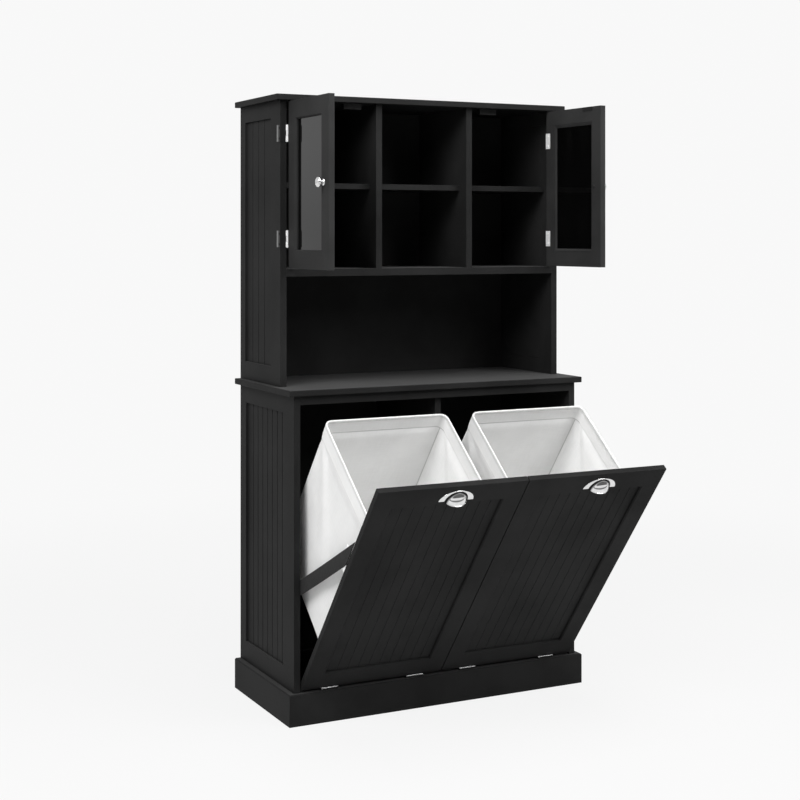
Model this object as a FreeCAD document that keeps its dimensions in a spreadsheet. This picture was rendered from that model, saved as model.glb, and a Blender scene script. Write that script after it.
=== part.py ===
# Black hutch cabinet: two framed glass doors above, two tilt-out laundry hampers below.
# X runs across, Y to the back and Z up. The origin is on the floor, at the middle of the plinth.
# Each hinged unit is drawn closed, about its own hinge pin, and then turned to its open pose.
import FreeCAD, Part
import math
import os

import Sketcher
from FreeCAD import Placement, Rotation, Vector

SIZES = {
    # carcass
    "cabinet_height": 1650,
    "body_width": 866,
    "side_thickness": 18,
    "lower_depth": 388,
    "upper_depth": 295,
    "back_thickness": 6,
    "plinth_height": 83,
    "skirting_front_thickness": 12,
    "skirting_side_thickness": 17,
    "skirting_bevel": 3,
    "bottom_thickness": 18,
    "foot_thickness": 18,
    "centre_divider_thickness": 18,
    "counter_height": 872,
    "counter_thickness": 16,
    "counter_front_overhang": 12,
    "counter_side_overhang": 17,
    "counter_rail_height": 23.5,
    "counter_rail_thickness": 18,
    "top_thickness": 16,
    "top_front_overhang": 17,
    "top_side_overhang": 17,
    "edge_round": 2,
    "cubby_floor_height": 1185,
    "cubby_floor_thickness": 20,
    "hutch_divider_thickness": 18,
    "shelf_thickness": 15,
    "shelf_setback": 40,
    # framed sides with beadboard
    "side_panel_thickness": 12,
    "side_rebate": 8,
    "panel_play": 0.5,
    "upper_front_stile": 66,
    "upper_back_stile": 36,
    "upper_bottom_rail": 50,
    "upper_top_rail": 44,
    "lower_front_stile": 72,
    "lower_back_stile": 42,
    "lower_bottom_rail": 138,
    "lower_top_rail": 49,
    "upper_bead_pitch": 44,
    "upper_bead_shift": 8.5,
    "upper_groove_width": 5,
    "upper_groove_depth": 2.4,
    "lower_bead_pitch": 35,
    "lower_bead_shift": -11,
    "lower_groove_width": 5,
    "lower_groove_depth": 2.4,
    # hinges
    "leaf_thickness": 1.2,
    "knuckle_radius": 3,
    "hinge_pin_radius": 1.5,
    "hinge_pin_play": 0.05,
    "hinge_head_radius": 2.6,
    "hinge_head_length": 1.2,
    "knuckle_gap": 0.4,
    "barrel_offset": 3.2,
    "barrel_clearance": 0.1,
    # glass doors
    "glass_door_thickness": 16,
    "glass_door_gap": 2,
    "glass_stile_width": 48,
    "glass_rail_width": 50,
    "glass_lip": 8,
    "glass_pane_thickness": 3,
    "glass_rebate": 8,
    "glass_bead_width": 12,
    "frame_bevel": 3,
    "left_open_angle": 90,
    "right_open_angle": 92.4,
    "glass_hinge_inset": 82,
    "glass_hinge_drop": 3.5,
    "glass_hinge_length": 44,
    "side_leaf_reach": 22,
    "door_leaf_reach": 20,
    "knob_edge_distance": 32,
    "knob_radius": 14,
    "knob_length": 21,
    "knob_dome_height": 8.5,
    "knob_head_height": 14.5,
    "knob_neck_radius": 5.5,
    "knob_base_radius": 9,
    "knob_base_height": 2,
    "knob_bore_depth": 10,
    "bolt_radius": 2,
    "bolt_play": 0.2,
    "bolt_head_radius": 4.5,
    "bolt_head_height": 2.2,
    "catch_length": 53,
    "catch_height": 15,
    "catch_depth": 14,
    "catch_inset": 36,
    "catch_gap": 0.5,
    "strike_thickness": 1,
    "strike_margin": 4,
    # tilt-out hamper fronts
    "tilt_angle": 38.3,
    "tilt_door_thickness": 15,
    "tilt_side_gap": 2,
    "tilt_centre_gap": 3,
    "tilt_top_gap": 2,
    "tilt_bottom_gap": 3.6,
    "divider_stop_gap": 0.5,
    "tilt_stile_width": 53,
    "tilt_rail_width": 62,
    "tilt_lip": 7,
    "tilt_panel_thickness": 6,
    "tilt_rebate": 8,
    "tilt_bead_pitch": 30.5,
    "tilt_bead_shift": 2.5,
    "tilt_groove_width": 2.6,
    "tilt_groove_depth": 1.2,
    "tilt_hinge_inset": 80,
    "tilt_hinge_length": 46,
    "tilt_leaf_reach": 22,
    "pull_width": 96,
    "pull_height": 34,
    "pull_end_radius": 21,
    "pull_flange_thickness": 2.5,
    "pull_drop": 48,
    "pull_shift": 15.5,
    "cup_width": 60,
    "cup_height": 29,
    "cup_end_radius": 19,
    "cup_projection": 21,
    "cup_edge_radius": 15,
    "cup_wall": 2.2,
    # laundry bags and what carries them
    "bag_floor_height": 141,
    "bag_rim_drop": 129,
    "bag_centre_gap": 37,
    "bag_back_gap": 18.6,
    "bag_wall": 2.5,
    "bag_corner_radius": 20,
    "bag_door_gap": 2.4,
    "bag_outer_gap": 23,
    "frame_wire_radius": 2.5,
    "frame_wire_clearance": 0.3,
    "frame_tab_width": 34,
    "frame_tab_seat": 24,
    "frame_tab_thickness": 3,
    "frame_tab_inset": 60,
    # stay straps
    "strap_width": 38,
    "strap_thickness": 1.6,
    "strap_clearance": 0.4,
    "strap_door_height": 516,
    "strap_anchor_height": 335,
    "strap_anchor_setback": 50,
    "strap_tail": 12,
    "anchor_length": 24,
    "anchor_wall": 5,
    "anchor_bridge": 1.8,
    "bracket_thickness": 2,
    "bracket_height": 70,
    "bracket_foot": 16,
    "bracket_arm": 30,
}

doc = FreeCAD.newDocument("hutch_cabinet")
sheet = doc.addObject("Spreadsheet::Sheet", "Dim")
for row, (alias, value) in enumerate(SIZES.items(), start=1):
    sheet.set(f"A{row}", alias)
    sheet.set(f"B{row}", str(value))
    sheet.setAlias(f"B{row}", alias)
doc.recompute()

LEFT = "-"
RIGHT = "+"
SIDES = {"left": LEFT, "right": RIGHT}
UPRIGHT = Rotation()
ALONG_X = Rotation(Vector(0, 1, 0), 90)
ALONG_Y = Rotation(Vector(1, 0, 0), -90)
OUTWARD = Rotation(Vector(1, 0, 0), 90)

# Shared places, as expressions of the sheet's sizes.
BACK = "((Dim.lower_depth + Dim.skirting_front_thickness) / 2)"
LOWER_FRONT = f"({BACK} - Dim.lower_depth)"
UPPER_FRONT = f"({BACK} - Dim.upper_depth)"
SIDE_OUT = "(Dim.body_width / 2)"
SIDE_IN = f"({SIDE_OUT} - Dim.side_thickness)"
COUNTER_UNDER = "(Dim.counter_height - Dim.counter_thickness)"
TOP_UNDER = "(Dim.cabinet_height - Dim.top_thickness)"
CUBBY_WIDTH = f"((2 * {SIDE_IN} - 2 * Dim.hutch_divider_thickness) / 3)"

nodes = []


def bind(item, expressions):
    for prop, expression in expressions.items():
        item.setExpression(prop, str(expression))


def value_of(expression):
    result = sheet.evalExpression(str(expression))
    return float(getattr(result, "Value", result))


def at(item, start):
    bind(item, dict(zip(("Placement.Base.x", "Placement.Base.y", "Placement.Base.z"), start)))
    return item


def box(name, start, size):
    item = doc.addObject("Part::Box", name)
    bind(item, dict(zip(("Length", "Width", "Height"), size)))
    return at(item, start)


def rod(name, start, radius, length, turn=UPRIGHT):
    item = doc.addObject("Part::Cylinder", name)
    item.Placement = Placement(Vector(), turn)
    bind(item, {"Radius": radius, "Height": length})
    return at(item, start)


def fuse(name, pieces):
    item = doc.addObject("Part::MultiFuse", name)
    item.Shapes = pieces
    return item


def cut(name, base, tool):
    item = doc.addObject("Part::Cut", name)
    item.Base = base
    item.Tool = tool
    return item


def group(name, pieces):
    item = doc.addObject("Part::Compound", name)
    item.Links = pieces
    return item


def keep(item, label):
    item.Label = label
    nodes.append(item)
    return item


def turn_about(item, axis, pin, angle):
    item.Placement = Placement(Vector(), Rotation(axis, 1))
    bind(item, {"Placement.Rotation.Angle": angle})
    return at(item, pin)


def mirrored(side, place):
    return place if side == RIGHT else f"-({place})"


def outward(side, near, size):
    return near if side == RIGHT else f"-(({near}) + ({size}))"


def origin_plane(body, role):
    return next(feature for feature in body.Origin.OriginFeatures if feature.Role == role)


def sketch_on(body, name, role, offset=None):
    sketch = body.newObject("Sketcher::SketchObject", name)
    sketch.AttachmentSupport = (origin_plane(body, role), [""])
    sketch.MapMode = "FlatFace"
    if offset is not None:
        sketch.setExpression("AttachmentOffset.Base.z", offset)
    return sketch


def measure(sketch, kind, *places, size):
    number = sketch.addConstraint(Sketcher.Constraint(kind, *places, value_of(size)))
    sketch.setExpression(f"Constraints[{number}]", str(size))


def on_axis(sketch, line, end, upright):
    axis = -2 if upright else -1
    sketch.addConstraint(Sketcher.Constraint("PointOnObject", line, end, axis))


def hold(sketch, kind, line, end, place):
    # Pins one coordinate of a point, measured from the sketch's origin.
    if str(place) == "0":
        on_axis(sketch, line, end, upright=kind == "DistanceX")
    else:
        measure(sketch, kind, -1, 1, line, end, size=place)


def hold_point(sketch, line, end, across, up):
    hold(sketch, "DistanceX", line, end, across)
    hold(sketch, "DistanceY", line, end, up)


def polygon(sketch, points):
    first = sketch.GeometryCount
    count = len(points)
    places = [Vector(value_of(across), value_of(up), 0) for across, up in points]
    for index in range(count):
        sketch.addGeometry(Part.LineSegment(places[index], places[(index + 1) % count]))
    for index in range(count):
        after = first + (index + 1) % count
        sketch.addConstraint(Sketcher.Constraint("Coincident", first + index, 2, after, 1))
    for index, (across, up) in enumerate(points):
        hold_point(sketch, first + index, 1, across, up)


def rectangle(sketch, left, low, right, high):
    polygon(sketch, [(left, low), (right, low), (right, high), (left, high)])


def rounded_rectangle(sketch, left, low, right, high, radius):
    x0, y0, x1, y1 = (value_of(edge) for edge in (left, low, right, high))
    r = value_of(radius)
    first = sketch.GeometryCount
    runs = [
        ((x0 + r, y0), (x1 - r, y0)),
        ((x1, y0 + r), (x1, y1 - r)),
        ((x1 - r, y1), (x0 + r, y1)),
        ((x0, y1 - r), (x0, y0 + r)),
    ]
    for start, end in runs:
        sketch.addGeometry(Part.LineSegment(Vector(*start, 0), Vector(*end, 0)))
    centres = [(x1 - r, y0 + r), (x1 - r, y1 - r), (x0 + r, y1 - r), (x0 + r, y0 + r)]
    quarter = math.pi / 2
    for index, centre in enumerate(centres):
        circle = Part.Circle(Vector(*centre, 0), Vector(0, 0, 1), r)
        start_angle = (index - 1) * quarter
        sketch.addGeometry(Part.ArcOfCircle(circle, start_angle, start_angle + quarter))
    for index in range(4):
        arc = first + 4 + index
        sketch.addConstraint(Sketcher.Constraint("Tangent", first + index, 2, arc, 1))
        sketch.addConstraint(Sketcher.Constraint("Tangent", arc, 2, first + (index + 1) % 4, 1))
    sketch.addConstraint(Sketcher.Constraint("Horizontal", first))
    sketch.addConstraint(Sketcher.Constraint("Vertical", first + 1))
    for index in (5, 6, 7):
        sketch.addConstraint(Sketcher.Constraint("Equal", first + 4, first + index))
    measure(sketch, "Radius", first + 4, size=radius)
    for run, (kind, place) in enumerate(
            (("DistanceY", low), ("DistanceX", right), ("DistanceY", high), ("DistanceX", left))):
        hold(sketch, kind, first + run, 1, place)


def half_oval(sketch, half_width, height, end_radius):
    # Half of an oval of three arcs, flat side down on the sketch's level axis.
    a, b, r = (value_of(size) for size in (half_width, height, end_radius))
    crown = ((a - r) ** 2 + b ** 2 - r ** 2) / (2 * (b - r))
    lean = math.atan2(a - r, crown - b)
    up = math.pi / 2
    arcs = [
        ((a - r, 0), r, 0, up - lean),
        ((0, b - crown), crown, up - lean, up + lean),
        ((r - a, 0), r, up + lean, math.pi),
    ]
    for centre, radius, start, end in arcs:
        circle = Part.Circle(Vector(*centre, 0), Vector(0, 0, 1), radius)
        sketch.addGeometry(Part.ArcOfCircle(circle, start, end))
    sketch.addGeometry(Part.LineSegment(Vector(-a, 0, 0), Vector(a, 0, 0)))
    right, top, left, base = range(4)
    sketch.addConstraint(Sketcher.Constraint("Tangent", right, 2, top, 1))
    sketch.addConstraint(Sketcher.Constraint("Tangent", top, 2, left, 1))
    sketch.addConstraint(Sketcher.Constraint("Coincident", left, 2, base, 1))
    sketch.addConstraint(Sketcher.Constraint("Coincident", base, 2, right, 1))
    for arc in (right, left):
        on_axis(sketch, arc, 3, upright=False)
    on_axis(sketch, right, 1, upright=False)
    on_axis(sketch, left, 2, upright=False)
    on_axis(sketch, top, 3, upright=True)
    sketch.addConstraint(Sketcher.Constraint("Equal", right, left))
    measure(sketch, "Radius", right, size=end_radius)
    measure(sketch, "DistanceX", -1, 1, right, 1, size=half_width)
    measure(sketch, "Radius", top, size=(
        f"((({half_width}) - ({end_radius})) ^ 2 + ({height}) ^ 2 - ({end_radius}) ^ 2)"
        f" / (2 * (({height}) - ({end_radius})))"))


def disc(sketch, across, up, radius):
    place = Vector(value_of(across), value_of(up), 0)
    circle = sketch.addGeometry(Part.Circle(place, Vector(0, 0, 1), value_of(radius)))
    hold_point(sketch, circle, 3, across, up)
    measure(sketch, "Radius", circle, size=radius)


def new_body(name):
    return doc.addObject("PartDesign::Body", name)


def pad(body, sketch, length, backwards=False):
    feature = body.newObject("PartDesign::Pad", "Pad")
    feature.Profile = sketch
    feature.Reversed = backwards
    feature.setExpression("Length", str(length))
    return feature


def pocket(body, sketch, length=None, backwards=False):
    feature = body.newObject("PartDesign::Pocket", "Pocket")
    feature.Profile = sketch
    feature.Reversed = backwards
    if length is None:
        feature.Type = "ThroughAll"
    else:
        feature.setExpression("Length", str(length))
    return feature


def dress(body, kind, base, edges, prop, size):
    feature = body.newObject(f"PartDesign::{kind}", kind)
    feature.Base = (base, edges)
    feature.setExpression(prop, size)
    return feature


def edges_where(shape, test):
    return [f"Edge{number}" for number, edge in enumerate(shape.Edges, start=1) if test(edge)]


def flat_at(edge, axis, place):
    return all(abs(getattr(vertex.Point, axis) - place) < 1e-6 for vertex in edge.Vertexes)


def skirting_boards():
    # Front and side boards meet in mitres at the front corners.
    outer = f"({SIDE_OUT} + Dim.skirting_side_thickness)"
    front = f"({LOWER_FRONT} - Dim.skirting_front_thickness)"
    body = new_body("skirting_front")
    sketch = sketch_on(body, "mitred_board", "XY_Plane")
    polygon(sketch, [
        ("0", "0"),
        (f"2 * {outer}", "0"),
        (f"{outer} + {SIDE_OUT}", "Dim.skirting_front_thickness"),
        ("Dim.skirting_side_thickness", "Dim.skirting_front_thickness"),
    ])
    board = pad(body, sketch, "Dim.plinth_height")
    doc.recompute()
    top = value_of("Dim.plinth_height")
    edges = edges_where(board.Shape, lambda edge: flat_at(edge, "z", top) and flat_at(edge, "y", 0))
    dress(body, "Chamfer", board, edges, "Size", "Dim.skirting_bevel")
    keep(at(body, (f"-{outer}", front, "0")), "skirting_front")
    for name, side in SIDES.items():
        body = new_body(f"skirting_{name}")
        sketch = sketch_on(body, "mitred_board", "XY_Plane")
        thick = "Dim.skirting_side_thickness"
        length = "Dim.lower_depth + Dim.skirting_front_thickness"
        tip, heel = (thick, "0") if side == RIGHT else ("0", thick)
        polygon(sketch, [
            (tip, "0"),
            (tip, length),
            (heel, length),
            (heel, "Dim.skirting_front_thickness"),
        ])
        board = pad(body, sketch, "Dim.plinth_height")
        doc.recompute()
        face = value_of(tip)
        edges = edges_where(board.Shape, lambda edge: flat_at(edge, "z", top) and flat_at(edge, "x", face))
        dress(body, "Chamfer", board, edges, "Size", "Dim.skirting_bevel")
        keep(at(body, (outward(side, SIDE_OUT, thick), front, "0")), f"skirting_{name}")


def beadboard(name, plane, size, kind, groove_face, backwards):
    # A flat panel with upright V grooves, an odd number of them spaced about a middle one.
    width, height, thickness = size
    across_x = plane == "XZ_Plane"
    body = new_body(name)
    outline = sketch_on(body, "outline", plane)
    rectangle(outline, "0", "0", width, height)
    pad(body, outline, thickness, backwards)
    pitch = f"Dim.{kind}_bead_pitch"
    beside = f"floor((({width}) / {pitch} - 1) / 2)"
    start = f"(({width}) / 2 - {pitch} * {beside} + Dim.{kind}_bead_shift)"
    half = f"Dim.{kind}_groove_width / 2"
    depth = f"Dim.{kind}_groove_depth"
    floor = depth if groove_face == "0" else f"({groove_face}) - {depth}"
    groove = [(groove_face, f"{start} - {half}"), (groove_face, f"{start} + {half}"), (floor, start)]
    if across_x:
        groove = [(along, depth) for depth, along in groove]
    sketch = sketch_on(body, "groove", "XY_Plane")
    polygon(sketch, groove)
    first = pocket(body, sketch, backwards=True)
    doc.recompute()
    pattern = body.newObject("PartDesign::LinearPattern", "grooves")
    pattern.Originals = [first]
    pattern.Direction = (sketch, ["H_Axis" if across_x else "V_Axis"])
    pattern.setExpression("Length", f"2 * {pitch} * {beside}")
    pattern.setExpression("Occurrences", f"2 * {beside} + 1")
    body.Tip = pattern
    return body


def framed_side(name, side, front, depth, low, high, margins):
    # A frame with a rebate on its inner face, where the beadboard panel lies flush.
    front_stile, back_stile, bottom_rail, top_rail = margins
    height = f"({high} - {low})"
    lip = "(Dim.side_thickness - Dim.side_panel_thickness)"
    inner_face = lip if side == LEFT else None
    x_start = outward(side, SIDE_IN, "Dim.side_thickness")
    body = new_body(f"{name}_frame")
    ring = sketch_on(body, "ring", "YZ_Plane")
    rectangle(ring, "0", "0", depth, height)
    rectangle(ring, front_stile, bottom_rail, f"{depth} - {back_stile}", f"{height} - {top_rail}")
    pad(body, ring, "Dim.side_thickness")
    rebate = sketch_on(body, "rebate", "YZ_Plane", inner_face)
    rectangle(
        rebate,
        f"{front_stile} - Dim.side_rebate",
        f"{bottom_rail} - Dim.side_rebate",
        f"{depth} - {back_stile} + Dim.side_rebate",
        f"{height} - {top_rail} + Dim.side_rebate",
    )
    pocket(body, rebate, "Dim.side_panel_thickness", backwards=True)
    keep(at(body, (x_start, front, low)), f"{name}_frame")
    inset = "(Dim.side_rebate - Dim.panel_play)"
    width = f"{depth} - {back_stile} - {front_stile} + 2 * {inset}"
    tall = f"{height} - {top_rail} - {bottom_rail} + 2 * {inset}"
    outer_face = "0" if side == LEFT else "Dim.side_panel_thickness"
    panel = beadboard(f"{name}_panel", "YZ_Plane", (width, tall, "Dim.side_panel_thickness"),
                      name.split("_")[0], outer_face, False)
    panel_x = f"{x_start} + {lip}" if side == LEFT else x_start
    keep(at(panel, (panel_x, f"{front} + {front_stile} - {inset}", f"{low} + {bottom_rail} - {inset}")),
         f"{name}_panel")


def round_board(name, start, size):
    # A board with its three exposed edges eased, above and below.
    width, depth, thickness = size
    body = new_body(name)
    outline = sketch_on(body, "outline", "XY_Plane")
    rectangle(outline, "0", "0", width, depth)
    board = pad(body, outline, thickness)
    doc.recompute()
    back = value_of(depth)
    levels = (0, value_of(thickness))

    def is_exposed(edge):
        return any(flat_at(edge, "z", level) for level in levels) and not flat_at(edge, "y", back)

    dress(body, "Fillet", board, edges_where(board.Shape, is_exposed), "Radius", "Dim.edge_round")
    return keep(at(body, start), name)


def lower_carcass():
    bay_width = f"(2 * {SIDE_IN})"
    inside_depth = "(Dim.lower_depth - Dim.back_thickness)"
    for name, side in SIDES.items():
        framed_side(
            f"lower_side_{name}", side, LOWER_FRONT, "Dim.lower_depth", "0", COUNTER_UNDER,
            ("Dim.lower_front_stile", "Dim.lower_back_stile", "Dim.lower_bottom_rail", "Dim.lower_top_rail"))
    under = "(Dim.plinth_height - Dim.bottom_thickness)"
    keep(box("bottom_panel", (f"-{SIDE_IN}", LOWER_FRONT, under),
             (bay_width, inside_depth, "Dim.bottom_thickness")), "bottom_panel")
    keep(box("centre_foot", ("-Dim.foot_thickness / 2", LOWER_FRONT, "0"),
             ("Dim.foot_thickness", inside_depth, under)), "centre_foot")
    setback = "(Dim.tilt_door_thickness + Dim.divider_stop_gap)"
    keep(box("centre_divider",
             ("-Dim.centre_divider_thickness / 2", f"{LOWER_FRONT} + {setback}", "Dim.plinth_height"),
             ("Dim.centre_divider_thickness", f"{inside_depth} - {setback}",
              f"{COUNTER_UNDER} - Dim.plinth_height - Dim.counter_rail_height")), "centre_divider")
    keep(box("counter_rail", (f"-{SIDE_IN}", LOWER_FRONT, f"{COUNTER_UNDER} - Dim.counter_rail_height"),
             (bay_width, "Dim.counter_rail_thickness", "Dim.counter_rail_height")), "counter_rail")
    keep(box("lower_back_panel", (f"-{SIDE_IN}", f"{BACK} - Dim.back_thickness", under),
             (bay_width, "Dim.back_thickness", f"{COUNTER_UNDER} - {under}")), "lower_back_panel")
    round_board("counter",
                (f"-({SIDE_OUT} + Dim.counter_side_overhang)",
                 f"{LOWER_FRONT} - Dim.counter_front_overhang", COUNTER_UNDER),
                (f"2 * ({SIDE_OUT} + Dim.counter_side_overhang)",
                 "Dim.lower_depth + Dim.counter_front_overhang", "Dim.counter_thickness"))


def hutch():
    inside_width = f"(2 * {SIDE_IN})"
    inside_depth = "(Dim.upper_depth - Dim.back_thickness)"
    for name, side in SIDES.items():
        framed_side(
            f"upper_side_{name}", side, UPPER_FRONT, "Dim.upper_depth", "Dim.counter_height", TOP_UNDER,
            ("Dim.upper_front_stile", "Dim.upper_back_stile", "Dim.upper_bottom_rail", "Dim.upper_top_rail"))
    keep(box("hutch_back_panel", (f"-{SIDE_IN}", f"{BACK} - Dim.back_thickness", "Dim.counter_height"),
             (inside_width, "Dim.back_thickness", f"{TOP_UNDER} - Dim.counter_height")), "hutch_back_panel")
    keep(box("cubby_floor",
             (f"-{SIDE_IN}", UPPER_FRONT, "Dim.cubby_floor_height - Dim.cubby_floor_thickness"),
             (inside_width, inside_depth, "Dim.cubby_floor_thickness")), "cubby_floor")
    cubby_height = f"({TOP_UNDER} - Dim.cubby_floor_height)"
    for name, side in SIDES.items():
        keep(box(f"hutch_divider_{name}",
                 (outward(side, f"{CUBBY_WIDTH} / 2", "Dim.hutch_divider_thickness"), UPPER_FRONT,
                  "Dim.cubby_floor_height"),
                 ("Dim.hutch_divider_thickness", inside_depth, cubby_height)), f"hutch_divider_{name}")
    shelf_low = f"Dim.cubby_floor_height + ({cubby_height} - Dim.shelf_thickness) / 2"
    for column, name in enumerate(("left", "centre", "right")):
        shelf_x = f"-{SIDE_IN} + {column} * ({CUBBY_WIDTH} + Dim.hutch_divider_thickness)"
        keep(box(f"shelf_{name}", (shelf_x, f"{UPPER_FRONT} + Dim.shelf_setback", shelf_low),
                 (CUBBY_WIDTH, f"{inside_depth} - Dim.shelf_setback", "Dim.shelf_thickness")),
             f"shelf_{name}")
    round_board("top_board",
                (f"-({SIDE_OUT} + Dim.top_side_overhang)",
                 f"{UPPER_FRONT} - Dim.top_front_overhang", TOP_UNDER),
                (f"2 * ({SIDE_OUT} + Dim.top_side_overhang)",
                 "Dim.upper_depth + Dim.top_front_overhang", "Dim.top_thickness"))


BORE = "(Dim.hinge_pin_radius + Dim.hinge_pin_play)"
GLASS_LOW = "(Dim.cubby_floor_height + Dim.glass_door_gap)"
GLASS_HIGH = f"({TOP_UNDER} - Dim.glass_door_gap)"
GLASS_HEIGHT = f"({GLASS_HIGH} - {GLASS_LOW})"
GLASS_WIDTH = f"({CUBBY_WIDTH} - 2 * Dim.glass_door_gap)"
GLASS_PIN_X = f"({SIDE_IN} - Dim.glass_door_gap / 2)"
GLASS_PIN_Y = f"({UPPER_FRONT} - Dim.barrel_offset)"
GLASS_HINGE_EDGE = "(Dim.glass_door_gap / 2)"
GLASS_INNER = "(Dim.barrel_offset + Dim.glass_door_thickness)"
CATCH_FAR = "(Dim.catch_inset - Dim.glass_door_gap + Dim.catch_length)"
GLASS_HINGES = (
    f"({GLASS_LOW} + Dim.glass_hinge_inset - Dim.glass_hinge_drop - Dim.glass_hinge_length / 2)",
    f"({GLASS_HIGH} - Dim.glass_hinge_inset - Dim.glass_hinge_drop - Dim.glass_hinge_length / 2)",
)


def knuckle_rows(length):
    # The outer two knuckles belong to the fixed leaf, the middle one to the door's.
    third = f"((({length}) - 2 * Dim.knuckle_gap) / 3)"
    middle = f"({third} + Dim.knuckle_gap)"
    last = f"(2 * {third} + 2 * Dim.knuckle_gap)"
    return third, (("0", last), (middle,))


def along_pin(start, shift, turn):
    axis = 0 if turn == ALONG_X else 2
    return tuple(f"{place} + {shift}" if index == axis else place for index, place in enumerate(start))


def hinge_pin(name, start, length, turn=UPRIGHT):
    head = "Dim.hinge_head_length"
    shank = rod(f"{name}_shank", start, "Dim.hinge_pin_radius", length, turn)
    ends = [
        rod(f"{name}_head", along_pin(start, shift, turn), "Dim.hinge_head_radius", head, turn)
        for shift in (f"({length})", f"(-{head})")
    ]
    return fuse(name, [shank, *ends])


def glass_side_leaf(name, side, low):
    # Wraps the front edge of the cabinet side, from the barrel round to the outer face.
    length = "Dim.glass_hinge_length"
    leaf = "Dim.leaf_thickness"
    third, (fixed_rows, _) = knuckle_rows(length)
    plate_in = f"({GLASS_PIN_X} + Dim.knuckle_radius + Dim.knuckle_gap)"
    front_face = f"{UPPER_FRONT} - {leaf}"
    front_width = f"({SIDE_OUT} + {leaf} - {plate_in})"
    pieces = [
        box(f"{name}_front", (outward(side, plate_in, front_width), front_face, low),
            (front_width, leaf, length)),
        box(f"{name}_return", (outward(side, SIDE_OUT, leaf), front_face, low),
            (leaf, f"Dim.side_leaf_reach + {leaf}", length)),
    ]
    for row in fixed_rows:
        base = f"{low} + {row}"
        tab_width = f"({plate_in} - {GLASS_PIN_X} + {leaf})"
        tab_depth = f"({leaf} - (Dim.barrel_offset - Dim.knuckle_radius))"
        pieces.append(rod(f"{name}_knuckle", (mirrored(side, GLASS_PIN_X), GLASS_PIN_Y, base),
                          "Dim.knuckle_radius", third))
        pieces.append(box(f"{name}_tab", (outward(side, GLASS_PIN_X, tab_width), front_face, base),
                          (tab_width, tab_depth, third)))
    bore = rod(f"{name}_bore", (mirrored(side, GLASS_PIN_X), GLASS_PIN_Y, low), BORE, length)
    return cut(name, fuse(f"{name}_solid", pieces), bore)


def glass_door_leaf(name, inward, low):
    # Runs along the door's hinge edge and on to its inner face.
    length = "Dim.glass_hinge_length"
    leaf = "Dim.leaf_thickness"
    third, (_, door_rows) = knuckle_rows(length)
    near = f"({GLASS_HINGE_EDGE} - {leaf})"
    front = "(Dim.barrel_offset + Dim.barrel_clearance)"
    reach = f"(Dim.door_leaf_reach - {near})"
    pieces = [
        box(f"{name}_edge", (outward(inward, near, leaf), front, low),
            (leaf, f"{GLASS_INNER} + {leaf} - {front}", length)),
        box(f"{name}_back", (outward(inward, near, reach), GLASS_INNER, low), (reach, leaf, length)),
    ]
    for row in door_rows:
        base = f"{low} + {row}"
        tab = f"({BORE} + Dim.hinge_pin_play)"
        pieces.append(rod(f"{name}_knuckle", ("0", "0", base), "Dim.knuckle_radius", third))
        pieces.append(box(f"{name}_tab", (outward(inward, near, leaf), tab, base),
                          (leaf, f"{front} + {leaf} - {tab}", third)))
    bore = rod(f"{name}_bore", ("0", "0", low), BORE, length)
    return cut(name, fuse(f"{name}_solid", pieces), bore)


def door_frame(name, width, height, thickness, stile, rail, lip, rebate_width, hole=None):
    # A ring of stiles and rails: rebated behind, bevelled round the front of its opening.
    body = new_body(name)
    ring = sketch_on(body, "ring", "XZ_Plane")
    rectangle(ring, "0", "0", width, height)
    rectangle(ring, stile, rail, f"{width} - {stile}", f"{height} - {rail}")
    pad(body, ring, thickness, backwards=True)
    rebate = sketch_on(body, "rebate", "XZ_Plane", f"-{lip}")
    rectangle(
        rebate,
        f"{stile} - {rebate_width}",
        f"{rail} - {rebate_width}",
        f"{width} - {stile} + {rebate_width}",
        f"{height} - {rail} + {rebate_width}",
    )
    last = pocket(body, rebate, f"{thickness} - {lip}")
    if hole is not None:
        across, up, radius = hole
        sketch = sketch_on(body, "bolt_hole", "XZ_Plane")
        disc(sketch, across, up, radius)
        last = pocket(body, sketch)
    doc.recompute()
    sides = [value_of(stile), value_of(width) - value_of(stile)]
    ends = [value_of(rail), value_of(height) - value_of(rail)]

    def rims_opening(edge):
        on_side = any(flat_at(edge, "x", place) for place in sides)
        on_end = any(flat_at(edge, "z", place) for place in ends)
        return flat_at(edge, "y", 0) and (on_side or on_end)

    dress(body, "Chamfer", last, edges_where(last.Shape, rims_opening), "Size", "Dim.frame_bevel")
    return body


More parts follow.
